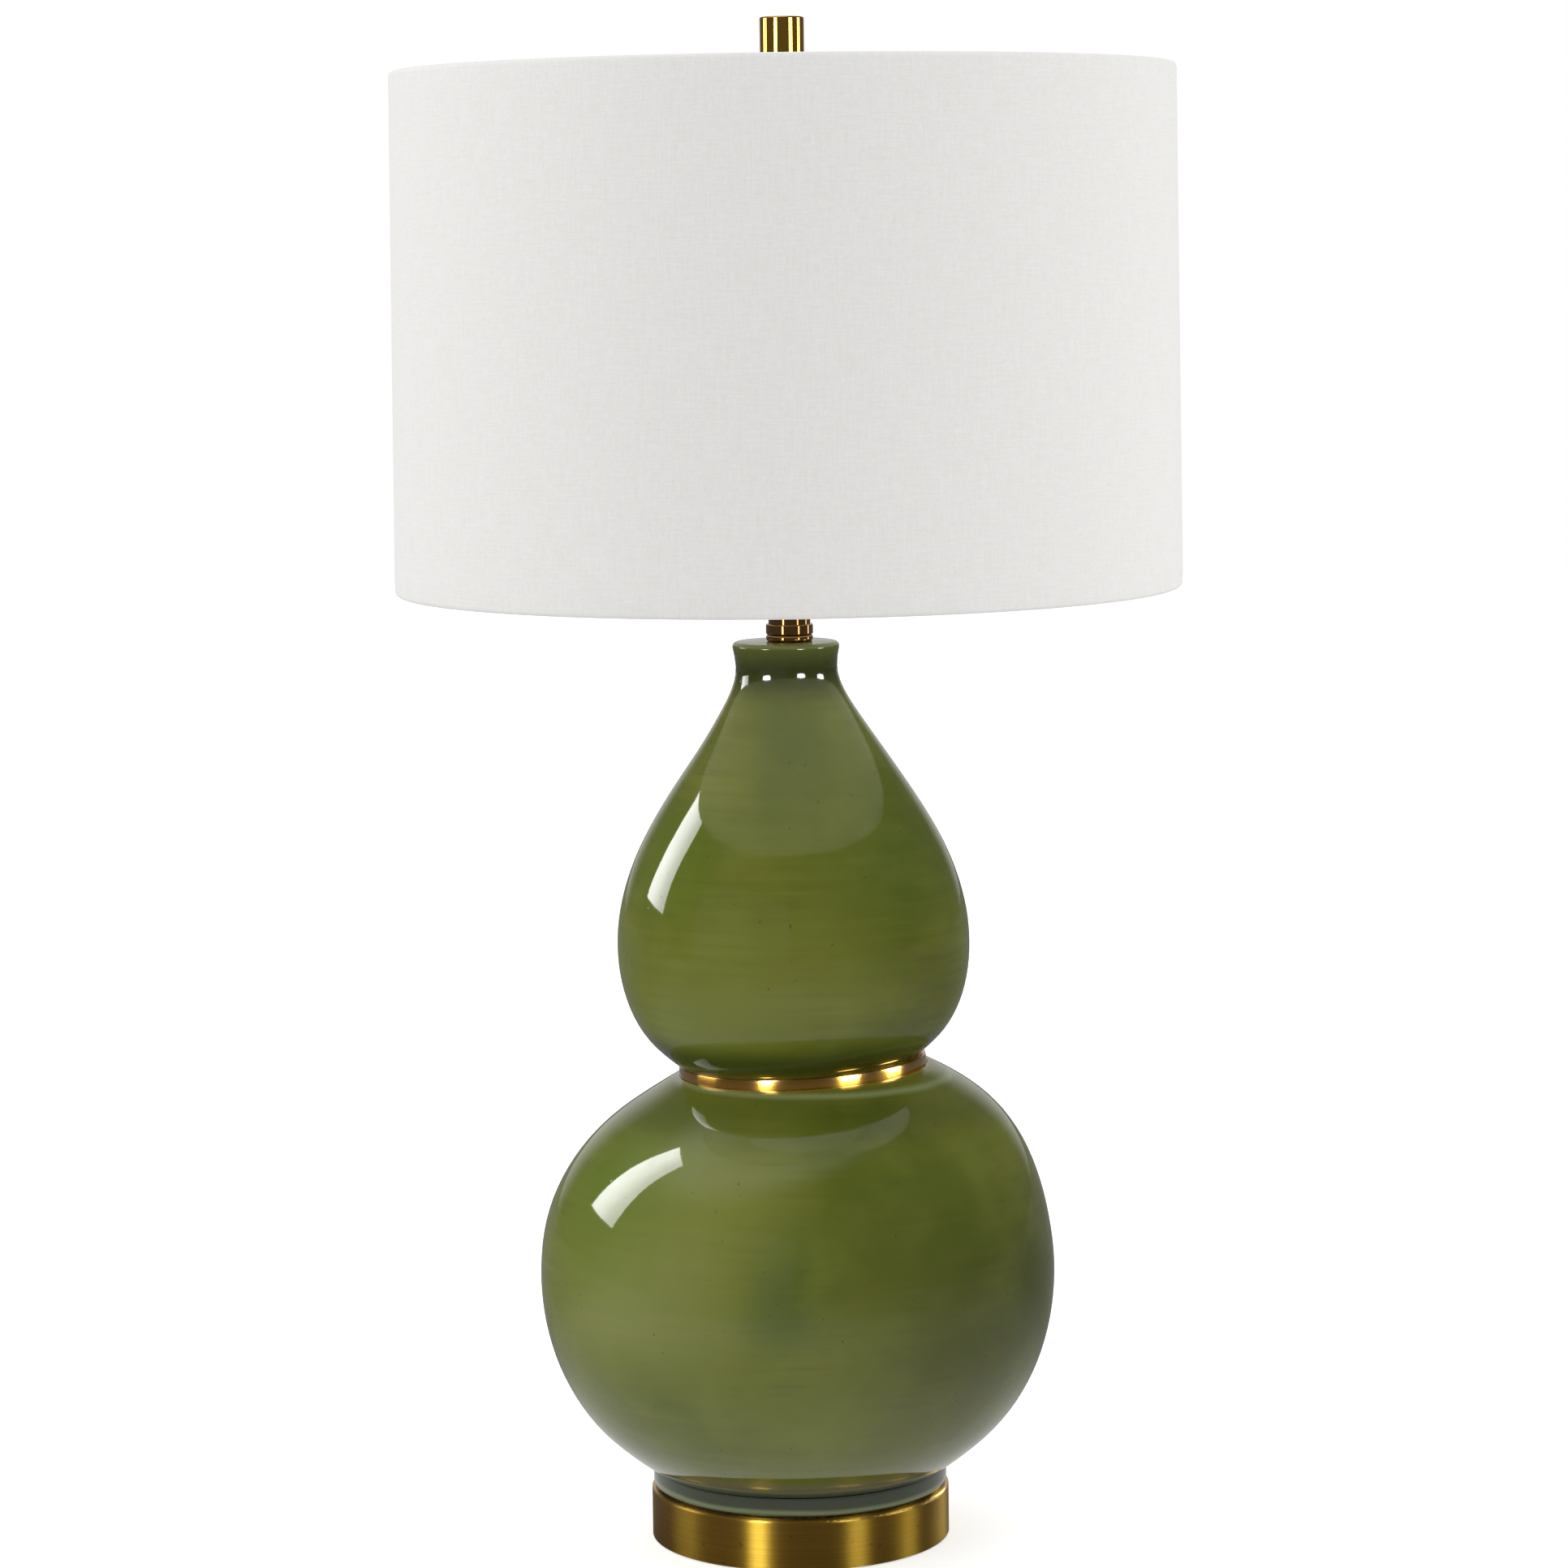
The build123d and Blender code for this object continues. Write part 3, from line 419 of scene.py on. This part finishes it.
# Pale green: glaze running thin at an edge, and a painted highlight along the lips.
thin_glaze_and_highlight_green = (150, 164, 112)
lower_glaze = glaze(
    "lower_glaze",
    painted_light_rings=[
        # Painted: highlight and shade under the band, brass reflection, shade in the groove, lip
        # highlight.
        (248.0, 2.0, 0.75, thin_glaze_and_highlight_green),
        (236.0, 16.0, 0.4, (64, 74, 24)),
        (47.0, 8.0, 0.75, (126, 120, 94)),
        (38.6, 1.6, 0.7, (28, 34, 22)),
        (31.0, 2.2, 0.55, thin_glaze_and_highlight_green),
    ],
    pool=(52, 38),
    blotches_and_painted_light=[
        ((-6, -133, 176), 34, 0.4, (72, 94, 42)),
        ((-8, -134, 150), 36, 0.45, (68, 92, 46)),
        # Painted shade on the right side, where less light falls.
        ((70, -110, 150), 110, 0.5, (72, 78, 34)),
        # Painted light on the left side, in this and the next three blotches.
        ((-84, -100, 160), 70, 0.7, (136, 143, 80)),
        ((-50, -118, 205), 70, 0.6, (136, 140, 70)),
        ((-60, -118, 145), 50, 0.5, (128, 134, 70)),
        ((-75, -80, 222), 50, 0.6, (134, 140, 80)),
        # Painted shade on the right side, in this and the next blotch.
        ((95, -90, 90), 95, 0.6, (74, 76, 40)),
        ((124, -50, 150), 80, 0.6, (60, 64, 26)),
        ((-100, -70, 200), 80, 0.5, (96, 122, 38)),
        # Painted shade under the band.
        ((42, -75, 236), 38, 0.45, (46, 56, 20)),
    ],
)
lean(lower_gourd, height=250, depth=3.2, reach=110, shift=4.5, tilt=2.4)
finished(lower_gourd, lower_glaze, "glaze", "lamp_body", "lower_gourd")

# Waist band: a satin brass ring with a flat face and rounded edges, held between the two
# gourds by a web that the pipe's pull clamps. The clay under it isn't quite level, so it
# sits askew.
web_r, back_r, edge_r = 48, 61.2, 0.7
waist_band = turned(
    "waist_band_ring",
    [(web_r, 251.8), (back_r, 251.8), (back_r, 249.4)]
    + rounded((64.3, 250.1), edge_r, -90, -5)
    + [(65.15, 251.4), (65.2, 252.75), (65.15, 254.1)]
    + rounded((64.3, 255.4), edge_r, 5, 90)
    + [(back_r, 256.1), (back_r, 253.6), (web_r, 253.6)],
)
lean(waist_band, height=252.8, depth=6, reach=1, shift=4.0, tilt=2.4)
satin_brass = brass(
    "satin_brass",
    brushing=0.15,
    settings={
        "Roughness": 0.19,
        "Anisotropic": 0.97,
        "Anisotropic Rotation": 0.25,
        "Coat Roughness": 0.15,
    },
    darkening=0.35,
)
finished(waist_band, satin_brass, "polished_brass", "lamp_body", "waist_band")

# Upper gourd: the same stoneware and glaze, closed at a narrow neck that flares into a
# flat rim. Its foot stands in the band, and follows the band's slope.
neck_hole = [(pipe_hole_r, 466.5), (pipe_hole_r, 476.5)]
rim_edge = rounded((25.5, 474), 2.5, 90, 0)
pear = through(
    [
        (28, 474),
        (26.5, 463.5),
        (35.1, 441),
        (56.7, 408),
        (81.9, 365),
        (92.5, 313),
        (78.2, 270),
        (63.5, 256.2),
    ],
    56,
)
foot_rebate = [(rebate_r, 256.2), (rebate_r, 254.5), (mouth_r, 254.5)]
pear_hollow = through(
    [(mouth_r, 261.2), (71.8, 273), (86.5, 313), (76, 363), (51, 405), (29, 438), (20.5, 466.5)],
    20,
)
upper_gourd = turned(
    "upper_gourd_body", neck_hole + rim_edge + pear[1:] + foot_rebate + pear_hollow
)
hand_made(upper_gourd, depth=0.4, size=50)
lean(upper_gourd, height=255.8, depth=2.2, reach=60, shift=2.4, tilt=2.4)
lean(upper_gourd, height=474.0, depth=3, reach=60, shift=-2.0, tilt=0.0)
upper_glaze = glaze(
    "upper_glaze",
    painted_light_rings=[
        # Painted highlight on the rim, painted shade on the neck under the lampshade, painted shade
        # above the band.
        (475.4, 2.0, 0.3, thin_glaze_and_highlight_green),
        (463.0, 22.0, 0.9, (42, 50, 16)),
        (262.5, 16.0, 0.88, (52, 62, 20)),
    ],
    pool=None,
    blotches_and_painted_light=[
        ((60, -66, 372), 60, 0.4, (78, 98, 36)),
        ((-50, -78, 290), 60, 0.5, (114, 122, 42)),
        ((78, -55, 295), 62, 0.55, (74, 78, 22)),
        ((-62, -50, 370), 50, 0.4, (96, 120, 38)),
        ((20, -88, 320), 50, 0.35, (122, 124, 52)),
        # Painted shade under the lampshade.
        ((0, -40, 425), 42, 0.6, (84, 94, 44)),
        # Painted shade above the band.
        ((36, -54, 266), 48, 0.5, (42, 48, 16)),
    ],
)
finished(upper_gourd, upper_glaze, "glaze", "lamp_body", "upper_gourd")

# Brass on the neck: a check ring, a collar and a tube, turned and polished, threaded
# over the pipe and pressed down on the rim. Their colour is darkened toward brown as
# painted shade, for the shadow that the lampshade casts on them.
polish = {"Roughness": 0.035, "Coat Roughness": 0.03}
polished_brass = brass("polished_brass", brushing=0.08, settings=polish)
shade_darkened_brass = brass("shade_darkened_brass", brushing=0.08, settings=polish, darkening=0.88)
shade_darkened_brass.dress("neck_check_ring", "neck_collar", "neck_tube")

# Harp and its saddle: brass-plated steel strip and wire, tumbled but not polished. The
# sleeves slide down over the wire's ends to lock it to the saddle.
plated = brass("brass_plated_steel", brushing=0.2, settings={"Roughness": 0.2})
plated.dress("harp_saddle", "harp_loop", "harp_sleeve_left", "harp_sleeve_right")

# Socket: a spun brass cap and shell over a black moulded body that holds the contacts,
# with a sleeve of vulcanised card between the body and the metal. The bulb screws into
# a shell of aluminium sheet with a rolled thread.
polished_brass.dress("socket_cap", "socket_shell")
card = Finish("sleeve_card", {"Roughness": 0.8})
pulp = card.noise(260, 4, (1, 1, 0.3))
card.feed(
    Base_Color=card.blend(pulp, shade_of(120, 92, 60), shade_of(166, 134, 92)),
    Normal=card.relief(pulp, 0.1 * mm, 0.5),
)
card.dress("insulating_sleeve")
moulded = Finish("moulded_black", {"Roughness": 0.4})
flow = moulded.noise(45, 3, (1, 1, 3))
moulded.feed(
    Base_Color=moulded.blend(flow, shade_of(14, 13, 12), shade_of(38, 34, 31)),
    Roughness=0.28 + 0.3 * flow,
    Normal=moulded.relief(moulded.noise(700, 2), 0.03 * mm, 0.5),
)
moulded.dress("socket_body")
contact = brass("contact_brass", brushing=0.1, settings={"Roughness": 0.3})
contact.dress("centre_contact")
aluminium = Finish("shell_aluminium", {"Metallic": 1.0})
drawing = aluminium.noise(1.0, 3, (30, 30, 1500))
aluminium.feed(
    Base_Color=aluminium.blend(drawing, shade_of(170, 170, 166), shade_of(214, 213, 208)),
    Roughness=0.22 + 0.2 * drawing,
    Normal=aluminium.relief(drawing, 0.02 * mm, 0.5),
)
shell_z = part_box("screw_shell")[0][2] / mm
sheet_t, floor_hole_r = 0.5, 6.0
crest_r, wave, pitch, turns, steps = 13.85, 0.5, 3.6, 4, 8
corner, corner_r = (12.6, shell_z + 1.2), 1.2
first_crest, lip_z = shell_z + 3.4, shell_z + 21.0
thread = [
    (crest_r - wave + wave * cos(2 * pi * k / steps), first_crest + pitch * k / steps)
    for k in range(turns * steps + 1)
]
screw_shell = turned(
    "screw_shell_rolled",
    [(floor_hole_r, shell_z)]
    + rounded(corner, corner_r, -90, 0)
    + thread
    + [(crest_r, lip_z), (crest_r - 0.4, lip_z + 1.0), (crest_r - 0.8, lip_z)]
    + [(r - sheet_t, z) for r, z in thread[::-1]]
    + rounded(corner, corner_r - sheet_t, 0, -90)
    + [(floor_hole_r, shell_z + sheet_t)],
    sides=120,
)
finished(screw_shell, aluminium, "shell_aluminium", "lamp_body", "screw_shell")

# Turn switch: a zinc-plated steel shaft out of the socket's front, with a fluted knob
# of the same black moulding as the socket's body pressed on its end.
zinc.dress("switch_shaft")
moulded.dress("switch_knob")

# Swivel stud: a threaded stud of polished brass, riveted through the harp's boss so that
# it can turn. It carries the shade.
polished_brass.dress("harp_stud")

# Spider and rings of the shade: steel wire, bent and welded and then dipped in white
# enamel. The spider's hub sits on the stud, and its arms end in the top ring.
enamel = Finish("white_enamel", {"Roughness": 0.35, "Coat Weight": 0.3})
sags = enamel.noise(90, 3)
enamel.feed(
    Base_Color=enamel.blend(sags, shade_of(216, 214, 208), shade_of(238, 237, 233)),
    Roughness=0.25 + 0.25 * sags,
    Normal=enamel.relief(sags, 0.1 * mm, 0.4),
)
enamel.dress("shade_spider", "shade_bottom_ring")

# Liner: a stiff sheet of matt white styrene, rolled up between the two rings. The linen
# is bonded to its outside.
styrene = Finish("liner_white", {"Roughness": 0.5})
ripple = styrene.noise(14, 3, (1, 1, 0.4))
styrene.feed(
    Base_Color=styrene.blend(ripple, shade_of(226, 225, 221), shade_of(240, 239, 236)),
    Roughness=0.42 + 0.2 * ripple,
    Normal=styrene.relief(ripple, 0.3 * mm, 0.3),
)
styrene.dress("shade_liner")

# Linen: one length of white slubby cloth round the drum, lapped in a seam at the back,
# rolled over both wire rings, and slit at the top where the spider's arms pass.
cloth_t, hem_r, turn_in = 0.8, 2.2, 2.0
ring_foot, ring_top = (202.2, 506.7), (199.7, 769.9)
narrowing, drop = ring_top[0] - ring_foot[0], ring_top[1] - ring_foot[1]
wall_steps, hem_steps = 26, 9
wall = [
    (ring_foot[0] + hem_r + narrowing * k / wall_steps, ring_foot[1] + drop * k / wall_steps)
    for k in range(1, wall_steps)
]
cloth_line = (
    [(ring_foot[0] - hem_r, ring_foot[1] + turn_in)]
    + rounded(ring_foot, hem_r, 180, 360, hem_steps)
    + wall
    + rounded(ring_top, hem_r, 0, 180, hem_steps)
    + [(ring_top[0] - hem_r, ring_top[1] - turn_in)]
)


def offset_line(line, distance):
    """The same line moved sideways by a distance, to its left."""
    moved = []
    for i, (r, z) in enumerate(line):
        before, after = line[max(i - 1, 0)], line[min(i + 1, len(line) - 1)]
        run, rise = after[0] - before[0], after[1] - before[1]
        whole = hypot(run, rise)
        moved.append((r - distance * rise / whole, z + distance * run / whole))
    return moved


shade_linen = turned(
    "shade_linen",
    offset_line(cloth_line, -cloth_t / 2) + offset_line(cloth_line, cloth_t / 2)[::-1],
    sides=288,
)
lap_w, lap_t, back_y, facing_back = 12, 0.9 * cloth_t, 190, 0.95
bpy.ops.object.mode_set(mode="EDIT")
bpy.ops.mesh.select_mode(type="FACE")
bpy.ops.mesh.select_all(action="DESELECT")
bpy.ops.object.mode_set(mode="OBJECT")
for face in shade_linen.data.polygons:
    middle, way = face.center, face.normal
    at_back = middle.y > back_y * mm and way.y > facing_back
    on_wall = ring_foot[1] * mm < middle.z < ring_top[1] * mm
    face.select = at_back and on_wall and abs(middle.x) < lap_w / 2 * mm
bpy.ops.object.mode_set(mode="EDIT")
bpy.ops.mesh.extrude_region_shrink_fatten(TRANSFORM_OT_shrink_fatten={"value": lap_t * mm})
bpy.ops.object.mode_set(mode="OBJECT")
slit_size, slit_inset = (6.2 * mm, 4.0 * mm, 9.6 * mm), 3.2
slit_r, slit_z = ring_top[0] - slit_inset, ring_top[1] - slit_inset
for turn in (90, 210, 330):
    bpy.ops.mesh.primitive_cube_add(
        size=1,
        location=(slit_r * cos(radians(turn)) * mm, slit_r * sin(radians(turn)) * mm, slit_z * mm),
        rotation=(0, 0, radians(turn)),
        scale=slit_size,
    )
    knife = bpy.context.active_object
    slit = shade_linen.modifiers.new("slit", "BOOLEAN")
    slit.object, slit.operation, slit.solver = knife, "DIFFERENCE", "EXACT"
    bpy.context.view_layer.objects.active = shade_linen
    bpy.ops.object.modifier_apply(modifier=slit.name)
    bpy.data.objects.remove(knife, do_unlink=True)
shade_linen.select_set(True)
bpy.context.view_layer.objects.active = shade_linen
linen = Finish("linen", {"Roughness": 0.9, "Specular IOR Level": 0.2, "Sheen Weight": 0.15})
arc = linen.node(
    "ShaderNodeMath", {"operation": "ARCTAN2"}, {0: linen.axis("X"), 1: linen.axis("Y")}
)
mean_r = 203.6
along = arc * (mean_r * mm)
cloth_place = linen.node("ShaderNodeCombineXYZ", None, {"X": along, "Y": linen.axis("Z")})
weft = linen.noise(1.0, 4, (260, 2300, 1), place=cloth_place)
warp_yarn = linen.noise(1.0, 4, (2300, 260, 1), (7, 3, 0), cloth_place)
slubs = linen.noise(1.0, 3, (60, 900, 1), (4, 9, 0), cloth_place)
upright_slubs = linen.noise(1.0, 3, (900, 50, 1), (1, 6, 0), cloth_place)
yarn = 0.3 * weft + 0.3 * warp_yarn + 0.2 * slubs + 0.2 * upright_slubs
bleached = linen.step(yarn, 0.3, 0.7)
linen.feed(
    Base_Color=linen.blend(bleached, shade_of(232, 231, 228), shade_of(246, 245, 243)),
    Normal=linen.relief(yarn, 0.2 * mm, 0.2),
)
finished(shade_linen, linen, "linen", "shade", "shade_fabric")

# Finial: a solid brass cylinder, turned and polished to a mirror, screwed down on the
# stud to hold the shade.
mirror_brass = brass(
    "mirror_brass", brushing=0.06, settings={"Roughness": 0.04, "Coat Roughness": 0.03}
)
mirror_brass.dress("finial")

# Studio floor: pale grey paper, white to the camera. The room is dark to the brass and
# the glaze, so the paper is dim in a mirror, and dimmest under the lamp.
bpy.ops.object.select_all(action="DESELECT")
bpy.ops.mesh.primitive_plane_add(size=14)
floor = bpy.context.active_object
floor.name = floor.data.name = "floor"
paper = Finish("floor_paper", {"Roughness": 0.9, "Specular IOR Level": 0.1})
fleck = paper.noise(3, 2)
by_camera = paper.node("ShaderNodeLightPath", output="Is Camera Ray")
by_mirror = paper.node("ShaderNodeLightPath", output="Is Glossy Ray")
from_lamp = paper.node("ShaderNodeVectorMath", {"operation": "LENGTH"}, {0: paper.place}, "Value")
share_in_mirror = 0.12 + 0.1 * paper.step(from_lamp, 0.2, 0.6)
black, white = shade_of(0, 0, 0), shade_of(255, 255, 255)
paper_tone = paper.blend(fleck, shade_of(228, 228, 228), shade_of(232, 232, 232))
paper.feed(
    Base_Color=paper.blend(by_mirror * (1 - share_in_mirror), paper_tone, black),
    Emission_Color=paper.blend(by_camera * 0.6, black, white),
)
paper.shader.inputs["Emission Strength"].default_value = 1
floor.data.materials.append(paper.material)

# Room: white to the camera and through glass. In a mirror it is dark, with pale paper
# behind the lamp and a pale ceiling. Dull surfaces are lit by all of it, and most by its
# back, its left side and its ceiling.
world = bpy.data.worlds.new("white_room")
bpy.context.scene.world = world
world.use_nodes = True


class Light(Finish):
    """Light that changes over the sky by direction, or over a lamp by place."""

    def __init__(self, tree, source, output):
        self.nodes, self.links = tree.nodes, tree.links
        self.place = self.node(source, output=output)

    def shine(self, lamp, level):
        self.links.new(level.socket, self.nodes[lamp].inputs["Strength"])


sky = Light(world.node_tree, "ShaderNodeTexCoord", "Generated")
behind = sky.step(sky.axis("Y"), 0.8, 0.97)
overhead = sky.step(sky.axis("Z") - 0.25 * sky.axis("X"), 0.78, 0.98)
seen = sky.node("ShaderNodeLightPath", output="Is Camera Ray")
through_glass = sky.node("ShaderNodeLightPath", output="Is Transmission Ray")
mirrored = sky.node("ShaderNodeLightPath", output="Is Glossy Ray")
mirror_level = 0.11 + 0.5 * behind + 0.8 * overhead * (1 - behind)
plain_level = (
    0.5
    + 0.3 * sky.step(sky.axis("Y"), -0.9, 0.5)
    + 0.35 * sky.step(sky.axis("X"), 0.2, -0.9)
    + 0.3 * sky.step(sky.axis("Z"), 0.3, 1.0)
)
plain = 1 - seen - through_glass - mirrored
sky.shine("Background", seen + through_glass + mirrored * mirror_level + plain * plain_level)
sky.nodes["Background"].inputs["Color"].default_value = white

# Lamps: soft boxes round the lamp, each linked to the pieces that it shows up on. Most
# are seen only as reflections in the brass or in the glaze.


def lit(name, *pieces):
    """The pieces that a lamp shows up on."""
    group = bpy.data.collections.new("lit_" + name)
    for piece in pieces:
        group.objects.link(piece)
    return group


def nodes(*names):
    return [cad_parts[name] for name in names]


ceramics = lit("ceramics", lower_gourd, upper_gourd)
cup = lit("cup", *nodes("base_cup"))
band = lit("band", waist_band)
neck = lit("neck", *nodes("neck_check_ring", "neck_collar", "neck_tube"))
finial = lit("finial", *nodes("finial"))
inner = lit("inner", *nodes("shade_liner", "shade_spider", "shade_bottom_ring"))
cloth = lit("cloth", shade_linen)


def softbox(name, azimuth, height, away, size, level, group=None, diffuse=False):
    """A rectangular lamp facing the axis, placed by its azimuth from the front. Its level
    is how white it looks. It is seen only in mirrors, or else only lights dull surfaces."""
    lamp = bpy.data.lights.new(name, "AREA")
    lamp.shape, lamp.size, lamp.size_y = "RECTANGLE", *size
    lamp.energy = level * pi * size[0] * size[1]
    box = bpy.data.objects.new(name, lamp)
    bpy.context.scene.collection.objects.link(box)
    turn = radians(azimuth)
    box.location = (away * sin(turn), -away * cos(turn), height)
    box.rotation_euler = (pi / 2, 0, turn)
    box.visible_camera = False
    box.visible_glossy = not diffuse
    box.visible_diffuse = diffuse
    if group:
        box.light_linking.receiver_collection = group
    return box


# The tall strip at the left makes the long highlight on each gourd. Its cloth is uneven,
# and it is dimmer at its front edge and at its foot.
strip = softbox(
    "strip_left_glaze",
    azimuth=-105.5,
    height=1.09,
    away=1.22,
    size=(0.46, 1.14),
    level=1,
    group=ceramics,
)
strip.data.use_nodes = True
strip_light = Light(strip.data.node_tree, "ShaderNodeNewGeometry", "Position")
scrim = 0.85 + 0.3 * strip_light.noise(7, 4)
front_edge = strip_light.step(strip_light.axis("Y"), 0.12, 0.42, 0.62, 1.0)
strip_foot = strip_light.step(strip_light.axis("Z"), 0.5, 0.85, 0.85, 1.0)
strip_light.shine("Emission", 11.5 * front_edge * strip_foot * scrim)
softbox(
    "room_front", azimuth=-35, height=1.0, away=3.5, size=(4.5, 2.6), level=0.12, group=ceramics
)

# A row of boxes for each brass piece, because each mirrors the studio in its own way. A
# box is given by its azimuth, its width and its level.
box_height, box_away, box_tall = 0.8, 1.6, 1.1
plain_white, greenish = (1, 1, 1), (0.84, 1, 0.88)
for kind, group, tint, boxes in (
    (
        "cup",
        cup,
        greenish,
        ((-100, 0.7, 1.5), (-33, 0.34, 12), (44, 0.4, 4), (92, 0.4, 3), (142, 0.3, 8)),
    ),
    ("band", band, plain_white, ((-100, 0.7, 4), (-34, 0.28, 80), (43, 0.46, 55), (92, 0.46, 50))),
    ("neck", neck, plain_white, ((-34, 0.22, 11), (46, 0.2, 7), (104, 0.26, 4))),
    ("finial", finial, plain_white, ((-98, 0.7, 4), (-33, 0.42, 12), (46, 0.5, 8), (96, 0.5, 6))),
):
    for azimuth, width, level in boxes:
        name = f"box_{kind}_{azimuth}"
        box = softbox(name, azimuth, box_height, box_away, (width, box_tall), level, group)
        box.data.color = tint

# Three small lamps with grids make the white squares on the gourd's neck. Each is given
# by its azimuth, the degrees that it looks down, and its width.
neck_z, grid_away, grid_tall, grid_level, grid_spread = 0.457, 0.4, 0.085, 1.3, 21
for azimuth, down, width in ((-45, 12.0, 0.12), (32, 11.2, 0.14), (81, 13.0, 0.14)):
    name, height = f"gridded_{azimuth}", neck_z + grid_away * tan(radians(down))
    grid = softbox(name, azimuth, height, grid_away, (width, grid_tall), grid_level, ceramics)
    grid.rotation_euler = (radians(90 - down), 0, radians(azimuth))
    grid.data.spread = radians(grid_spread)

# The table as the glaze mirrors it: a card that shines up from the floor, bright near the
# lamp, and dark at the back and towards the right.
table = softbox(
    "table_card", azimuth=0, height=1 * mm, away=0, size=(5.2, 5.2), level=1, group=ceramics
)
table.rotation_euler = (pi, 0, 0)
table.data.use_nodes = True
table_light = Light(table.data.node_tree, "ShaderNodeNewGeometry", "Position")
from_axis = table_light.node(
    "ShaderNodeVectorMath", {"operation": "LENGTH"}, {0: table_light.place}, "Value"
)
wide_glow = table_light.step(from_axis, 1.3, 0.3)
near_glow = table_light.step(from_axis, 0.34, 0.14)
to_back = table_light.step(table_light.axis("Y"), -0.05, 0.4)
to_right = table_light.step(table_light.axis("X"), 0.0, 0.6)
table_level = (0.12 + 0.34 * wide_glow + 0.25 * near_glow) * (1 - 0.9 * to_back)
table_light.shine("Emission", table_level * (1 - 0.45 * to_right))

# Soft lamps that light dull surfaces: one for all, two for the linen, and a faint one
# inside the shade for the light that real cloth lets through.
softbox("soft_key", azimuth=-45, height=1.7, away=2.4, size=(1.6, 1.4), level=0.8, diffuse=True)
for name, azimuth, level in (("cloth_left", -75, 0.45), ("cloth_right", 75, 2.7)):
    softbox(name, azimuth, 0.7, 2.2, (1.2, 1.2), level, cloth, diffuse=True)
inside = bpy.data.lights.new("light_through_cloth", "POINT")
inside.energy, inside.shadow_soft_size = 0.5, 0.08
glow_inside = bpy.data.objects.new("light_through_cloth", inside)
bpy.context.scene.collection.objects.link(glow_inside)
glow_inside.location = (0, 0, 0.57)
glow_inside.visible_camera = glow_inside.visible_glossy = False
glow_inside.light_linking.receiver_collection = inner

# Camera: a little above the middle of the lamp, looking slightly down and rolled by less
# than a degree, as in the photograph.
focal_px, frame_px = 5680, 1932
looking_down, roll = 6.69, -0.75
eye = bpy.data.cameras.new("eye")
eye.sensor_width = 36
eye.lens = eye.sensor_width * focal_px / frame_px
camera = bpy.data.objects.new("camera", eye)
bpy.context.scene.collection.objects.link(camera)
camera.location = (-0.0039, -2.400, 0.6828)
camera.rotation_euler = (radians(90 - looking_down), 0, 0)
camera.rotation_euler.rotate_axis("Z", radians(roll))
bpy.context.scene.camera = camera

bpy.context.scene.view_settings.view_transform = "Standard"
